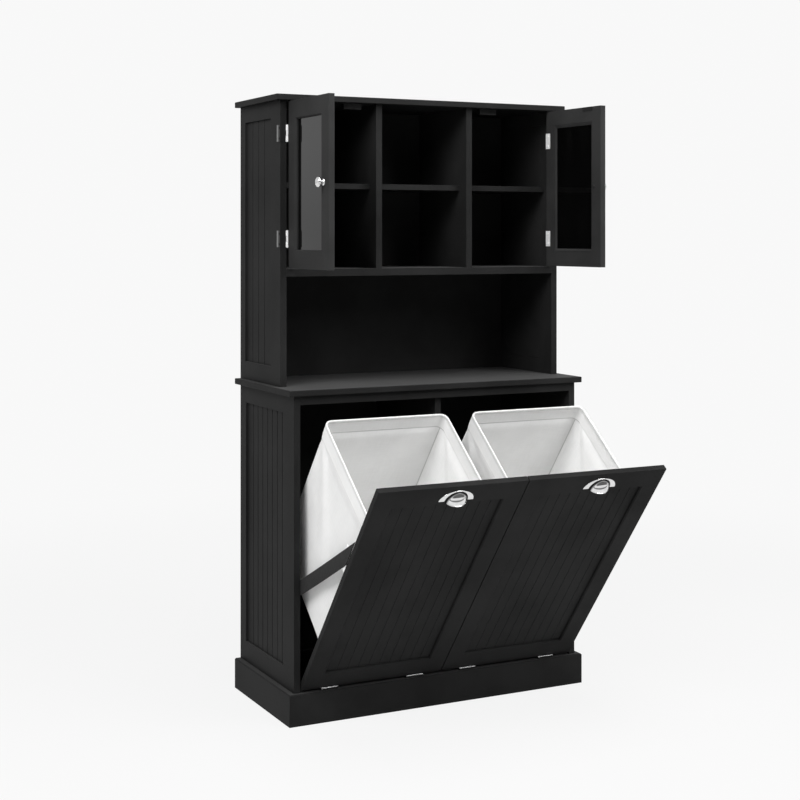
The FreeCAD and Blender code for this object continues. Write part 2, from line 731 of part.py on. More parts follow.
def knob(name):
    # A turned mushroom knob, with a blind bore for its bolt.
    body = new_body(name)
    sketch = sketch_on(body, "profile", "XZ_Plane")
    bore = "(Dim.bolt_radius + Dim.bolt_play)"
    shoulder = "(Dim.knob_length - Dim.knob_dome_height)"
    flare = "(Dim.knob_length - Dim.knob_head_height)"
    points = [
        (bore, "Dim.knob_bore_depth"),
        (bore, "0"),
        ("Dim.knob_base_radius", "0"),
        ("Dim.knob_base_radius", "Dim.knob_base_height"),
        ("Dim.knob_neck_radius", "2 * Dim.knob_base_height"),
        ("Dim.knob_neck_radius", flare),
        ("Dim.knob_radius", shoulder),
    ]
    places = [Vector(value_of(across), value_of(up), 0) for across, up in points]
    count = len(points)
    for start, end in zip(places, places[1:]):
        sketch.addGeometry(Part.LineSegment(start, end))
    rim = places[-1]
    crown = Vector(0, value_of("Dim.knob_length"), 0)
    centre_up = (crown.y ** 2 - rim.y ** 2 - rim.x ** 2) / (2 * (crown.y - rim.y))
    dome = Part.Circle(Vector(0, centre_up, 0), Vector(0, 0, 1), crown.y - centre_up)
    sketch.addGeometry(Part.ArcOfCircle(dome, dome.parameter(rim), dome.parameter(crown)))
    arc = count - 1
    foot = Vector(0, places[0].y, 0)
    sketch.addGeometry(Part.LineSegment(crown, foot))
    sketch.addGeometry(Part.LineSegment(foot, places[0]))
    for index in range(count - 2):
        sketch.addConstraint(Sketcher.Constraint("Coincident", index, 2, index + 1, 1))
    sketch.addConstraint(Sketcher.Constraint("Coincident", arc - 1, 2, arc, 1))
    sketch.addConstraint(Sketcher.Constraint("Coincident", arc, 2, arc + 1, 1))
    sketch.addConstraint(Sketcher.Constraint("Coincident", arc + 1, 2, arc + 2, 1))
    sketch.addConstraint(Sketcher.Constraint("Coincident", arc + 2, 2, 0, 1))
    on_axis(sketch, arc, 3, upright=True)
    sketch.addConstraint(Sketcher.Constraint("Vertical", arc + 1))
    for index, (across, up) in enumerate(points[:-1]):
        hold_point(sketch, index, 1, across, up)
    hold_point(sketch, arc, 1, *points[-1])
    hold_point(sketch, arc, 2, "0", "Dim.knob_length")
    sketch.addConstraint(Sketcher.Constraint("Horizontal", arc + 2))
    turned = body.newObject("PartDesign::Revolution", "turned")
    turned.Profile = sketch
    turned.ReferenceAxis = (sketch, ["V_Axis"])
    turned.Angle = 360
    return body


def glass_door(name, side):
    inward = LEFT if side == RIGHT else RIGHT
    frame_x = outward(inward, GLASS_HINGE_EDGE, GLASS_WIDTH)
    angle = mirrored(side, f"Dim.{name}_open_angle")
    pin = (mirrored(side, GLASS_PIN_X), GLASS_PIN_Y, "0")
    knob_reach = f"({GLASS_HINGE_EDGE} + {GLASS_WIDTH} - Dim.knob_edge_distance)"
    knob_x = outward(inward, knob_reach, "0")
    knob_z = f"({GLASS_LOW} + {GLASS_HEIGHT} / 2)"
    bore = "(Dim.bolt_radius + Dim.bolt_play)"

    def hang(label, pieces):
        keep(turn_about(group(label, pieces), Vector(0, 0, 1), pin, angle), label)

    hole = (f"{knob_x} - ({frame_x})", f"{GLASS_HEIGHT} / 2", bore)
    frame = door_frame(
        f"glass_frame_{name}", GLASS_WIDTH, GLASS_HEIGHT, "Dim.glass_door_thickness",
        "Dim.glass_stile_width", "Dim.glass_rail_width", "Dim.glass_lip", "Dim.glass_rebate", hole)
    hang(f"glass_door_frame_{name}", [at(frame, (frame_x, "Dim.barrel_offset", GLASS_LOW))])

    seat = "(Dim.glass_rebate - Dim.panel_play)"
    pane_x = f"({frame_x} + Dim.glass_stile_width - {seat})"
    pane_z = f"({GLASS_LOW} + Dim.glass_rail_width - {seat})"
    pane_width = f"({GLASS_WIDTH} - 2 * Dim.glass_stile_width + 2 * {seat})"
    pane_height = f"({GLASS_HEIGHT} - 2 * Dim.glass_rail_width + 2 * {seat})"
    pane_y = "(Dim.barrel_offset + Dim.glass_lip)"
    hang(f"glass_pane_{name}", [box(f"pane_{name}", (pane_x, pane_y, pane_z),
                                    (pane_width, "Dim.glass_pane_thickness", pane_height))])

    bead = "Dim.glass_bead_width"
    bead_y = f"({pane_y} + Dim.glass_pane_thickness)"
    bead_depth = f"({GLASS_INNER} - {bead_y})"
    beads = []
    for shift in ("0", f"({pane_width} - {bead})"):
        beads.append(box(f"upright_bead_{name}", (f"{pane_x} + {shift}", bead_y, pane_z),
                         (bead, bead_depth, pane_height)))
    for shift in ("0", f"({pane_height} - {bead})"):
        beads.append(box(f"level_bead_{name}", (f"{pane_x} + {bead}", bead_y, f"{pane_z} + {shift}"),
                         (f"{pane_width} - 2 * {bead}", bead_depth, bead)))
    hang(f"glazing_beads_{name}", beads)

    grip = knob(f"knob_{name}")
    grip.Placement = Placement(Vector(), OUTWARD)
    at(grip, (knob_x, "Dim.barrel_offset", knob_z))
    shank_length = "(Dim.glass_door_thickness + Dim.knob_bore_depth - Dim.knob_base_height)"
    shank = rod(f"bolt_shank_{name}", (knob_x, f"{GLASS_INNER} - {shank_length}", knob_z),
                "Dim.bolt_radius", shank_length, ALONG_Y)
    head = rod(f"bolt_head_{name}", (knob_x, GLASS_INNER, knob_z),
               "Dim.bolt_head_radius", "Dim.bolt_head_height", ALONG_Y)
    hang(f"door_knob_{name}", [grip, fuse(f"knob_bolt_{name}", [shank, head])])

    leaves = [
        glass_door_leaf(f"door_leaf_{name}_{row}", inward, low)
        for row, low in enumerate(GLASS_HINGES)
    ]
    hang(f"glass_hinge_door_leaves_{name}", leaves)

    strike_x = outward(inward, f"({GLASS_HINGE_EDGE} + {GLASS_WIDTH} - {CATCH_FAR} + Dim.strike_margin)",
                       "(Dim.catch_length - 2 * Dim.strike_margin)")
    strike_height = "(Dim.catch_height - Dim.strike_margin)"
    hang(f"strike_plate_{name}",
         [box(f"strike_{name}", (strike_x, GLASS_INNER, f"{GLASS_HIGH} - {strike_height}"),
              ("Dim.catch_length - 2 * Dim.strike_margin", "Dim.strike_thickness", strike_height))])


def magnetic_catches():
    # One under the top board behind the free edge of each glass door.
    catch_y = f"({UPPER_FRONT} + Dim.glass_door_thickness + Dim.strike_thickness + Dim.catch_gap)"
    cubby_start = f"({CUBBY_WIDTH} / 2 + Dim.hutch_divider_thickness)"
    pieces = []
    for name, side in SIDES.items():
        start = outward(side, f"{cubby_start} + Dim.catch_inset", "Dim.catch_length")
        pieces.append(box(f"catch_{name}", (start, catch_y, f"{TOP_UNDER} - Dim.catch_height"),
                          ("Dim.catch_length", "Dim.catch_depth", "Dim.catch_height")))
    keep(group("magnetic_catches", pieces), "magnetic_catches")


def glass_hinges():
    leaves = []
    pins = []
    for name, side in SIDES.items():
        for row, low in enumerate(GLASS_HINGES):
            leaves.append(glass_side_leaf(f"side_leaf_{name}_{row}", side, low))
            pins.append(hinge_pin(f"glass_pin_{name}_{row}", (mirrored(side, GLASS_PIN_X), GLASS_PIN_Y, low),
                                  "Dim.glass_hinge_length"))
    keep(group("glass_hinge_side_leaves", leaves), "glass_hinge_side_leaves")
    keep(group("glass_hinge_pins", pins), "glass_hinge_pins")


TILT_PIN_Y = f"({LOWER_FRONT} - Dim.barrel_offset)"
TILT_PIN_Z = "(Dim.plinth_height + Dim.tilt_bottom_gap)"
TILT_NEAR = "(Dim.tilt_centre_gap / 2)"
TILT_WIDTH = f"({SIDE_IN} - Dim.tilt_side_gap - {TILT_NEAR})"
TILT_HEIGHT = f"({COUNTER_UNDER} - Dim.counter_rail_height - Dim.tilt_top_gap - {TILT_PIN_Z})"
TILT_INNER = "(Dim.barrel_offset + Dim.tilt_door_thickness)"
TILT_HINGES = (
    f"({TILT_NEAR} + Dim.tilt_hinge_inset - Dim.tilt_hinge_length / 2)",
    f"({TILT_NEAR} + {TILT_WIDTH} - Dim.tilt_hinge_inset - Dim.tilt_hinge_length / 2)",
)


def hang_tilted(label, pieces):
    pin = ("0", TILT_PIN_Y, TILT_PIN_Z)
    keep(turn_about(group(label, pieces), Vector(1, 0, 0), pin, "Dim.tilt_angle"), label)


def tilt_base_leaf(name, start):
    # Lies on the bottom panel, under the front, with its barrel over the skirting.
    length = "Dim.tilt_hinge_length"
    leaf = "Dim.leaf_thickness"
    third, (fixed_rows, _) = knuckle_rows(length)
    clear = f"({LOWER_FRONT} + Dim.barrel_clearance)"
    plate_size = (length, "Dim.tilt_leaf_reach", leaf)
    pieces = [box(f"{name}_plate", (start, clear, "Dim.plinth_height"), plate_size)]
    for row in fixed_rows:
        across = f"{start} + {row}"
        pieces.append(rod(f"{name}_knuckle", (across, TILT_PIN_Y, TILT_PIN_Z), "Dim.knuckle_radius", third,
                          ALONG_X))
        pieces.append(box(f"{name}_tab", (across, TILT_PIN_Y, "Dim.plinth_height"),
                          (third, f"{clear} - {TILT_PIN_Y} + {leaf}", leaf)))
    bore = rod(f"{name}_bore", (start, TILT_PIN_Y, TILT_PIN_Z), BORE, length, ALONG_X)
    return cut(name, fuse(f"{name}_solid", pieces), bore)


def tilt_door_leaf(name, start):
    # Runs under the front's bottom edge and up its inner face.
    length = "Dim.tilt_hinge_length"
    leaf = "Dim.leaf_thickness"
    third, (_, door_rows) = knuckle_rows(length)
    front = "(Dim.barrel_offset + Dim.barrel_clearance)"
    pieces = [
        box(f"{name}_under", (start, front, f"-{leaf}"), (length, f"{TILT_INNER} + {leaf} - {front}", leaf)),
        box(f"{name}_back", (start, TILT_INNER, f"-{leaf}"),
            (length, leaf, f"Dim.tilt_leaf_reach + {leaf}")),
    ]
    for row in door_rows:
        across = f"{start} + {row}"
        tab = f"({BORE} + Dim.hinge_pin_play)"
        pieces.append(rod(f"{name}_knuckle", (across, "0", "0"), "Dim.knuckle_radius", third, ALONG_X))
        tab_size = (third, f"{front} + {leaf} - {tab}", leaf)
        pieces.append(box(f"{name}_tab", (across, tab, f"-{leaf}"), tab_size))
    bore = rod(f"{name}_bore", (start, "0", "0"), BORE, length, ALONG_X)
    return cut(name, fuse(f"{name}_solid", pieces), bore)


def tilt_hinges():
    leaves = []
    pins = []
    for name, side in SIDES.items():
        for row, near in enumerate(TILT_HINGES):
            start = outward(side, near, "Dim.tilt_hinge_length")
            leaves.append(tilt_base_leaf(f"base_leaf_{name}_{row}", start))
            pins.append(hinge_pin(f"tilt_pin_{name}_{row}", (start, TILT_PIN_Y, TILT_PIN_Z),
                                  "Dim.tilt_hinge_length", ALONG_X))
    keep(group("tilt_hinge_base_leaves", leaves), "tilt_hinge_base_leaves")
    keep(group("tilt_hinge_pins", pins), "tilt_hinge_pins")


def pull_outline(body, name, part, inset="0"):
    sketch = sketch_on(body, name, "XZ_Plane")
    sizes = (f"Dim.{part}_width / 2", f"Dim.{part}_height", f"Dim.{part}_end_radius")
    half_oval(sketch, *(f"{size} - {inset}" for size in sizes))
    return sketch


def cup_pull(name):
    # A bin pull: a rounded hollow cup on a flat crescent flange, open below for the fingers.
    body = new_body(name)
    block = pad(body, pull_outline(body, "cup_outline", "cup"), "Dim.cup_projection")
    doc.recompute()
    reach = value_of("Dim.cup_projection")
    rim = edges_where(block.Shape, lambda edge: flat_at(edge, "y", -reach) and not flat_at(edge, "z", 0))
    cup = dress(body, "Fillet", block, rim, "Radius", "Dim.cup_edge_radius")
    doc.recompute()
    open_faces = [
        f"Face{number}"
        for number, face in enumerate(cup.Shape.Faces, start=1)
        if any(all(flat_at(edge, axis, 0) for edge in face.Edges) for axis in "yz")
    ]
    shell = dress(body, "Thickness", cup, open_faces, "Value", "Dim.cup_wall")
    shell.Reversed = True
    pad(body, pull_outline(body, "flange", "pull"), "Dim.pull_flange_thickness")
    pocket(body, pull_outline(body, "back_opening", "cup", "Dim.cup_wall"), "Dim.pull_flange_thickness",
           backwards=True)
    return body


BAG_FRONT = f"({TILT_INNER} + Dim.bag_door_gap)"
BAG_NEAR = "Dim.bag_centre_gap"
BAG_WIDTH = f"({SIDE_IN} - Dim.bag_outer_gap - Dim.bag_centre_gap)"
BAG_DEPTH = f"({BACK} - Dim.back_thickness - Dim.bag_back_gap - {TILT_PIN_Y} - {BAG_FRONT})"
BAG_HEIGHT = f"({TILT_HEIGHT} - Dim.bag_rim_drop - Dim.bag_floor_height)"


def bag_outline(body, name, inset="0"):
    sketch = sketch_on(body, name, "XY_Plane")
    rounded_rectangle(sketch, inset, inset, f"{BAG_WIDTH} - {inset}", f"{BAG_DEPTH} - {inset}",
                      f"Dim.bag_corner_radius - {inset}")
    return sketch


def laundry_bag(name, side):
    # A cloth sleeve with rounded upright corners, and the bottom panel that is sewn into it.
    sleeve = new_body(f"sleeve_{name}")
    pad(sleeve, bag_outline(sleeve, "outline"), BAG_HEIGHT)
    pocket(sleeve, bag_outline(sleeve, "inside", "Dim.bag_wall"), BAG_HEIGHT, backwards=True)
    bottom = new_body(f"bag_bottom_{name}")
    pad(bottom, bag_outline(bottom, "panel", "Dim.bag_wall"), "Dim.bag_wall")
    place = (outward(side, BAG_NEAR, BAG_WIDTH), BAG_FRONT, "Dim.bag_floor_height")
    hang_tilted(f"laundry_bag_{name}", [at(sleeve, place), at(bottom, place)])


def bag_frame(name, side):
    # A closed wire loop along the bag's rim, with two straps that screw to the front's top rail.
    wire = "Dim.frame_wire_radius"
    rim = f"({TILT_HEIGHT} - Dim.bag_rim_drop + Dim.frame_wire_clearance)"
    level = f"({rim} + {wire})"
    body = new_body(f"wire_{name}")
    path = sketch_on(body, "path", "XY_Plane")
    rounded_rectangle(path, wire, wire, f"{BAG_WIDTH} - {wire}", f"{BAG_DEPTH} - {wire}",
                      f"Dim.bag_corner_radius - {wire}")
    middle = f"({BAG_WIDTH} / 2)"
    section = sketch_on(body, "section", "YZ_Plane", middle)
    disc(section, wire, "0", wire)
    pipe = body.newObject("PartDesign::AdditivePipe", "loop")
    pipe.Profile = section
    pipe.Spine = path
    start = outward(side, BAG_NEAR, BAG_WIDTH)
    at(body, (start, BAG_FRONT, level))
    rail_low = f"({TILT_HEIGHT} - Dim.tilt_rail_width + Dim.tilt_rebate)"
    tab_size = ("Dim.frame_tab_width", "Dim.frame_tab_thickness", f"{rail_low} + Dim.frame_tab_seat - {rim}")
    far = f"({BAG_WIDTH} - Dim.frame_tab_inset - Dim.frame_tab_width)"
    tabs = [
        box(f"tab_{name}_{number}", (f"{start} + {near}", TILT_INNER, rim), tab_size)
        for number, near in enumerate(("Dim.frame_tab_inset", far))
    ]
    hang_tilted(f"bag_frame_{name}", [fuse(f"wire_frame_{name}", [body, *tabs])])


def tilt_front(name, side):
    start = outward(side, TILT_NEAR, TILT_WIDTH)
    frame = door_frame(f"tilt_frame_{name}", TILT_WIDTH, TILT_HEIGHT, "Dim.tilt_door_thickness",
                       "Dim.tilt_stile_width", "Dim.tilt_rail_width", "Dim.tilt_lip", "Dim.tilt_rebate")
    hang_tilted(f"tilt_door_frame_{name}", [at(frame, (start, "Dim.barrel_offset", "0"))])
    seat = "(Dim.tilt_rebate - Dim.panel_play)"
    size = (f"{TILT_WIDTH} - 2 * Dim.tilt_stile_width + 2 * {seat}",
            f"{TILT_HEIGHT} - 2 * Dim.tilt_rail_width + 2 * {seat}", "Dim.tilt_panel_thickness")
    panel = beadboard(f"tilt_beadboard_{name}", "XZ_Plane", size, "tilt", "0", True)
    at(panel, (f"{start} + Dim.tilt_stile_width - {seat}", "Dim.barrel_offset + Dim.tilt_lip",
               f"Dim.tilt_rail_width - {seat}"))
    hang_tilted(f"tilt_door_panel_{name}", [panel])
    pull_place = (f"{start} + {TILT_WIDTH} / 2 + Dim.pull_shift", "Dim.barrel_offset",
                  f"{TILT_HEIGHT} - Dim.pull_drop")
    hang_tilted(f"cup_pull_{name}", [at(cup_pull(f"pull_{name}"), pull_place)])
    leaves = [
        tilt_door_leaf(f"front_leaf_{name}_{row}", outward(side, near, "Dim.tilt_hinge_length"))
        for row, near in enumerate(TILT_HINGES)
    ]
    hang_tilted(f"tilt_hinge_door_leaves_{name}", leaves)


# The strap's anchor, seen from the tilted front: how far behind its pin and how far up from it.
TURN = "Dim.tilt_angle * 1deg"
ANCHOR_DY = "(Dim.strap_anchor_setback + Dim.barrel_offset)"
ANCHOR_DZ = f"(Dim.strap_anchor_height - {TILT_PIN_Z})"
ANCHOR_BEHIND = f"({ANCHOR_DY} * cos({TURN}) + {ANCHOR_DZ} * sin({TURN}))"
ANCHOR_UP = f"({ANCHOR_DZ} * cos({TURN}) - {ANCHOR_DY} * sin({TURN}))"
STRAP_START = f"({TILT_INNER} + Dim.strap_clearance)"
STRAP_RUN = f"({ANCHOR_BEHIND} - {STRAP_START})"
STRAP_FALL = f"(Dim.strap_door_height - {ANCHOR_UP})"
STRAP_LENGTH = f"sqrt({STRAP_RUN} * {STRAP_RUN} + {STRAP_FALL} * {STRAP_FALL})"
STRAP_NEAR = f"({SIDE_IN} - Dim.strap_clearance - Dim.strap_thickness)"


def strap_place(along, aside):
    # A point of the strap, given along it from the front's inner face and aside from its middle.
    behind = f"({STRAP_START} + (({along}) * {STRAP_RUN} + ({aside}) * {STRAP_FALL}) / {STRAP_LENGTH})"
    up = f"(Dim.strap_door_height - (({along}) * {STRAP_FALL} - ({aside}) * {STRAP_RUN}) / {STRAP_LENGTH})"
    return behind, up


def strap_outline(start, end, half):
    corners = ((start, f"-{half}"), (end, f"-{half}"), (end, half), (start, half))
    return [strap_place(along, aside) for along, aside in corners]


def stay_strap(name, side):
    # Flat webbing, cut along the inner face of the front, taut at the open stop.
    body = new_body(f"strap_{name}")
    sketch = sketch_on(body, "webbing", "YZ_Plane")
    half = "(Dim.strap_width / 2)"
    slant = f"({half} * {STRAP_FALL} / {STRAP_RUN})"
    end = f"({STRAP_LENGTH} + Dim.strap_tail)"
    polygon(sketch, [
        strap_place(slant, f"-{half}"),
        strap_place(end, f"-{half}"),
        strap_place(end, half),
        strap_place(f"-{slant}", half),
    ])
    pad(body, sketch, "Dim.strap_thickness")
    near = outward(side, STRAP_NEAR, "Dim.strap_thickness")
    hang_tilted(f"stay_strap_{name}", [at(body, (near, "0", "0"))])


def strap_anchor(name, side):
    # A bridge on the cabinet side that clamps the strap's end.
    half = "(Dim.strap_width / 2 + Dim.strap_clearance)"
    depth = "(Dim.strap_thickness + 2 * Dim.strap_clearance + Dim.anchor_bridge)"
    near = f"({STRAP_LENGTH} - Dim.anchor_length / 2)"
    far = f"({STRAP_LENGTH} + Dim.anchor_length / 2)"
    body = new_body(f"anchor_{name}")
    block = sketch_on(body, "block", "YZ_Plane")
    polygon(block, strap_outline(near, far, f"({half} + Dim.anchor_wall)"))
    pad(body, block, depth)
    slot_start = "Dim.anchor_bridge" if side == RIGHT else None
    slot = sketch_on(body, "slot", "YZ_Plane", slot_start)
    polygon(slot, strap_outline(near, far, half))
    pocket(body, slot, f"{depth} - Dim.anchor_bridge", backwards=True)
    return at(body, (outward(side, f"{SIDE_IN} - {depth}", depth), "0", "0"))


def strap_bracket(name, side):
    # An angle plate: its foot on the front's inner face, its arm beside the strap's end.
    thick = "Dim.bracket_thickness"
    low = "(Dim.strap_door_height - Dim.bracket_height)"
    arm_near = f"({STRAP_NEAR} - Dim.strap_clearance - {thick})"
    foot_near = f"({arm_near} - Dim.bracket_foot)"
    foot_width = f"(Dim.bracket_foot + {thick})"
    foot = box(f"bracket_foot_{name}", (outward(side, foot_near, foot_width), TILT_INNER, low),
               (foot_width, thick, "Dim.bracket_height"))
    arm = box(f"bracket_arm_{name}", (outward(side, arm_near, thick), TILT_INNER, low),
              (thick, "Dim.bracket_arm", "Dim.bracket_height"))
    hang_tilted(f"strap_bracket_{name}", [fuse(f"bracket_{name}", [foot, arm])])


skirting_boards()
lower_carcass()
hutch()
magnetic_catches()
glass_hinges()
tilt_hinges()
for side_name, side_sign in SIDES.items():
    glass_door(side_name, side_sign)
for side_name, side_sign in SIDES.items():
    tilt_front(side_name, side_sign)
    bag_frame(side_name, side_sign)
    laundry_bag(side_name, side_sign)
    strap_bracket(side_name, side_sign)
    stay_strap(side_name, side_sign)
hang_tilted("strap_anchors", [strap_anchor(name, side) for name, side in SIDES.items()])

doc.recompute()
failed = [item.Label for item in doc.Objects if "Invalid" in item.State or "Error" in item.State]
if failed:
    raise RuntimeError(f"objects that failed to rebuild: {failed}")
for node in nodes:
    if node.Shape.isNull() or not node.Shape.isValid():
        raise RuntimeError(f"shape of {node.Label} is not valid")

os.makedirs("parts", exist_ok=True)
for node in nodes:
    node.Shape.exportStep(f"parts/{node.Label}.step")
    print(f"{node.Label}: {len(node.Shape.Solids)} solids, {node.Shape.Volume:.1f} mm3")
print(f"{len(nodes)} nodes")
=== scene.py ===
import math

import bmesh
import bpy
from mathutils import Matrix, Vector


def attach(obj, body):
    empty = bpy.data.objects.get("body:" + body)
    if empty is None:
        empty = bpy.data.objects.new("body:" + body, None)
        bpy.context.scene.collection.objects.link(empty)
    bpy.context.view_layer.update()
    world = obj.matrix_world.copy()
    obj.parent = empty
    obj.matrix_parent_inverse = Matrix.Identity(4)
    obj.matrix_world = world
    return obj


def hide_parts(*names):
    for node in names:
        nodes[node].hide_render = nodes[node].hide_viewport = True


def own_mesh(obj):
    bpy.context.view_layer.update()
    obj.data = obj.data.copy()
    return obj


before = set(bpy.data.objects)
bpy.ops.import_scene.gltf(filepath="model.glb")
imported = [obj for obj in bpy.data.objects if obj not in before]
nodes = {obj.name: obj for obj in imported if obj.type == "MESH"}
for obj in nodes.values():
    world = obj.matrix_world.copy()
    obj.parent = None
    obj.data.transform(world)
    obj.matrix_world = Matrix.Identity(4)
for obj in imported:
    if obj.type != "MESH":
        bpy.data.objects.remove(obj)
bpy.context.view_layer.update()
print("frame loaded:", len(nodes), "nodes")

mm = 0.001
touch = 0.01 * mm  # slack when corners are picked by their place
quarter = math.radians(90)
sides = {"left": -1, "right": 1}

# where the CAD put the moving halves, in metres
tilt = {"angle": math.radians(38.3), "pinY": -0.1912, "pinZ": 0.0866}
glassPin = {"x": 0.414, "y": -0.0982, "faceOffset": 3.2 * mm, "thickness": 16 * mm}
glassOpen = {"left": math.radians(90), "right": math.radians(92.4)}

leanCos, leanSin = math.cos(tilt["angle"]), math.sin(tilt["angle"])
# front-local axes: x across, y behind the front, z up along it
toFront = Matrix((
    (1, 0, 0, 0),
    (0, leanCos, -leanSin, tilt["pinY"]),
    (0, leanSin, leanCos, tilt["pinZ"]),
    (0, 0, 0, 1),
))
frontNormal = toFront.to_3x3() @ Vector((0, 1, 0))


def doorMatrix(name):
    # door-local axes: x away from the pin, y out through the face, z up
    side = sides[name]
    angle = glassOpen[name]
    along = Vector((-side * math.cos(angle), -math.sin(angle), 0))
    outward = Vector((side * math.sin(angle), -math.cos(angle), 0))
    base = Vector((side * glassPin["x"], glassPin["y"], 0)) - outward * glassPin["faceOffset"]
    matrix = Matrix((along, outward, Vector((0, 0, 1)))).transposed().to_4x4()
    matrix.translation = base
    return matrix


def clamped(share):
    return min(1.0, max(0.0, share))


# camera, from the fit to the photograph
view = {"place": (-1.9820, -3.8708, 1.2748), "turn": math.radians(-26.77), "lens": 69.0, "sensor": 36,
        "drop": -0.2057}
bpy.ops.object.camera_add(location=view["place"], rotation=(quarter, 0, view["turn"]))
camera = bpy.context.object
camera.name = "photoCamera"
camera.data.lens = view["lens"]
camera.data.sensor_width = view["sensor"]
camera.data.shift_y = view["drop"]
bpy.context.scene.camera = camera
bpy.context.scene.view_settings.view_transform = "Standard"
print("camera set")


class Reading:
    # a node's output, with the sums it can take part in
    def __init__(self, finish, socket):
        self.finish = finish
        self.socket = socket

    def sum(self, operation, *terms):
        return self.finish.node("ShaderNodeMath", {"operation": operation}, dict(enumerate(terms)))

    def __add__(self, other):
        return self.sum("ADD", self, other)

    def __radd__(self, other):
        return self.sum("ADD", other, self)

    def __sub__(self, other):
        return self.sum("SUBTRACT", self, other)

    def __rsub__(self, other):
        return self.sum("SUBTRACT", other, self)

    def __mul__(self, other):
        return self.sum("MULTIPLY", self, other)

    def __rmul__(self, other):
        return self.sum("MULTIPLY", other, self)

    def __abs__(self):
        return self.sum("ABSOLUTE", self)

    def sine(self):
        return self.sum("SINE", self)

    def ripple(self, pitch):
        return (self * (2 * math.pi / pitch)).sine()

    def most(self, other):
        return self.sum("MAXIMUM", self, other)

    def step(self, low, high, start=0.0, end=1.0):
        return self.finish.node("ShaderNodeMapRange", {"interpolation_type": "SMOOTHSTEP"},
                                {0: self, 1: low, 2: high, 3: start, 4: end})

    def fall(self, low, high):
        return self.step(low, high, 1.0, 0.0)

    def output(self, name):
        return Reading(self.finish, self.socket.node.outputs[name])


class Finish:
    # a new material, or world, and its node tree
    def __init__(self, name, kind="materials"):
        self.owner = getattr(bpy.data, kind).new(name)
        self.owner.use_nodes = True
        self.tree = self.owner.node_tree
        self.tree.nodes.clear()

    def node(self, kind, settings=None, sockets=None, out=0):
        made = self.tree.nodes.new(kind)
        for key, value in (settings or {}).items():
            setattr(made, key, value)
        for key, value in (sockets or {}).items():
            if isinstance(value, Reading):
                self.tree.links.new(value.socket, made.inputs[key])
            else:
                made.inputs[key].default_value = value
        return Reading(self, made.outputs[out]) if made.outputs else None

    def place(self, turn=(0, 0, 0)):
        spot = self.node("ShaderNodeTexCoord", out="Object")
        return self.node("ShaderNodeMapping", None, {"Vector": spot, "Rotation": turn})

    def noise(self, spot, scale, detail=3.0, rough=0.55):
        return self.node("ShaderNodeTexNoise", None,
                         {"Vector": spot, "Scale": scale, "Detail": detail, "Roughness": rough})

    def stretched(self, spot, scale):
        return self.node("ShaderNodeVectorMath", {"operation": "MULTIPLY"}, {0: spot, 1: scale})

    def parts(self, spot):
        x = self.node("ShaderNodeSeparateXYZ", None, {0: spot})
        return x, x.output("Y"), x.output("Z")

    def blend(self, share, first, second):
        return self.node("ShaderNodeMix", {"data_type": "RGBA"}, {0: share, 6: first, 7: second}, out=2)

    def bump(self, height, strength, distance, normal=None):
        sockets = {"Height": height, "Strength": strength, "Distance": distance}
        if normal is not None:
            sockets["Normal"] = normal
        return self.node("ShaderNodeBump", None, sockets)

    def softEdge(self, radius):
        return self.node("ShaderNodeBevel", {"samples": 4}, {"Radius": radius})

    def surface(self, sockets):
        shader = self.node("ShaderNodeBsdfPrincipled", None, sockets)
        self.node("ShaderNodeOutputMaterial", None, {"Surface": shader})
        return self.owner


def grey(level):
    return (level, level, level, 1)


# satin black paint over board: roller stipple, faint cloudiness, rubbed edges, and upward faces lighter
# with dust and painted light from above
paint = {
    "dark": 0.0138, "light": 0.020, "worn": 0.048, "dust": 0.051, "doorLitShare": 1.65, "rough": 0.46,
    "gloss": 0.022, "edge": 1.1 * mm, "relief": 0.25 * mm, "cloudScale": 5.5, "stippleScale": 850.0,
    "rollerScale": 160.0, "wearScale": 34.0, "dustAndToplightScale": 9.0,
}


def blackPaint(name, share=1.0):
    finish = Finish(name)
    spot = finish.place()
    cloud = finish.noise(spot, paint["cloudScale"], 4.0)
    stipple = finish.noise(spot, paint["stippleScale"], 2.0)
    roller = finish.noise(spot, paint["rollerScale"])
    rounded = finish.softEdge(paint["edge"])
    flat = finish.node("ShaderNodeNewGeometry", out="True Normal")
    lean = finish.node("ShaderNodeVectorMath", {"operation": "DOT_PRODUCT"},
                       {0: rounded, 1: flat}, out="Value")
    rub = (1 - lean).step(0.02, 0.22) * finish.noise(spot, paint["wearScale"]).step(0.42, 0.66)
    tone = finish.blend(cloud.step(0.3, 0.7), grey(paint["dark"] * share), grey(paint["light"] * share))
    rubbed = finish.blend(rub * 0.55, tone, grey(paint["worn"]))
    rise = finish.parts(flat)[2]
    # upward faces lighter: partly dust, partly painted light from above
    film = 0.82 + finish.noise(spot, paint["dustAndToplightScale"]).step(0.25, 0.75) * 0.18
    dust = rise.step(0.90, 0.99) * film
    rough = paint["rough"] + (cloud - 0.5) * 0.10 + (roller - 0.5) * 0.10 - rub * 0.06 + dust * 0.2
    height = stipple * 0.35 + roller * 0.65
    return finish.surface({
        "Base Color": finish.blend(dust, rubbed, grey(paint["dust"])),
        "Roughness": rough,
        "Specular IOR Level": paint["gloss"],
        "Normal": finish.bump(height, 0.10, paint["relief"], rounded),
    })


# dark glass: smooth, with a trace of wiping marks
glass = {"clean": 0.0015, "wiped": 0.0030, "rough": 0.018, "smear": 0.035, "gloss": 0.42, "index": 1.5,
         "waver": 2 * mm}


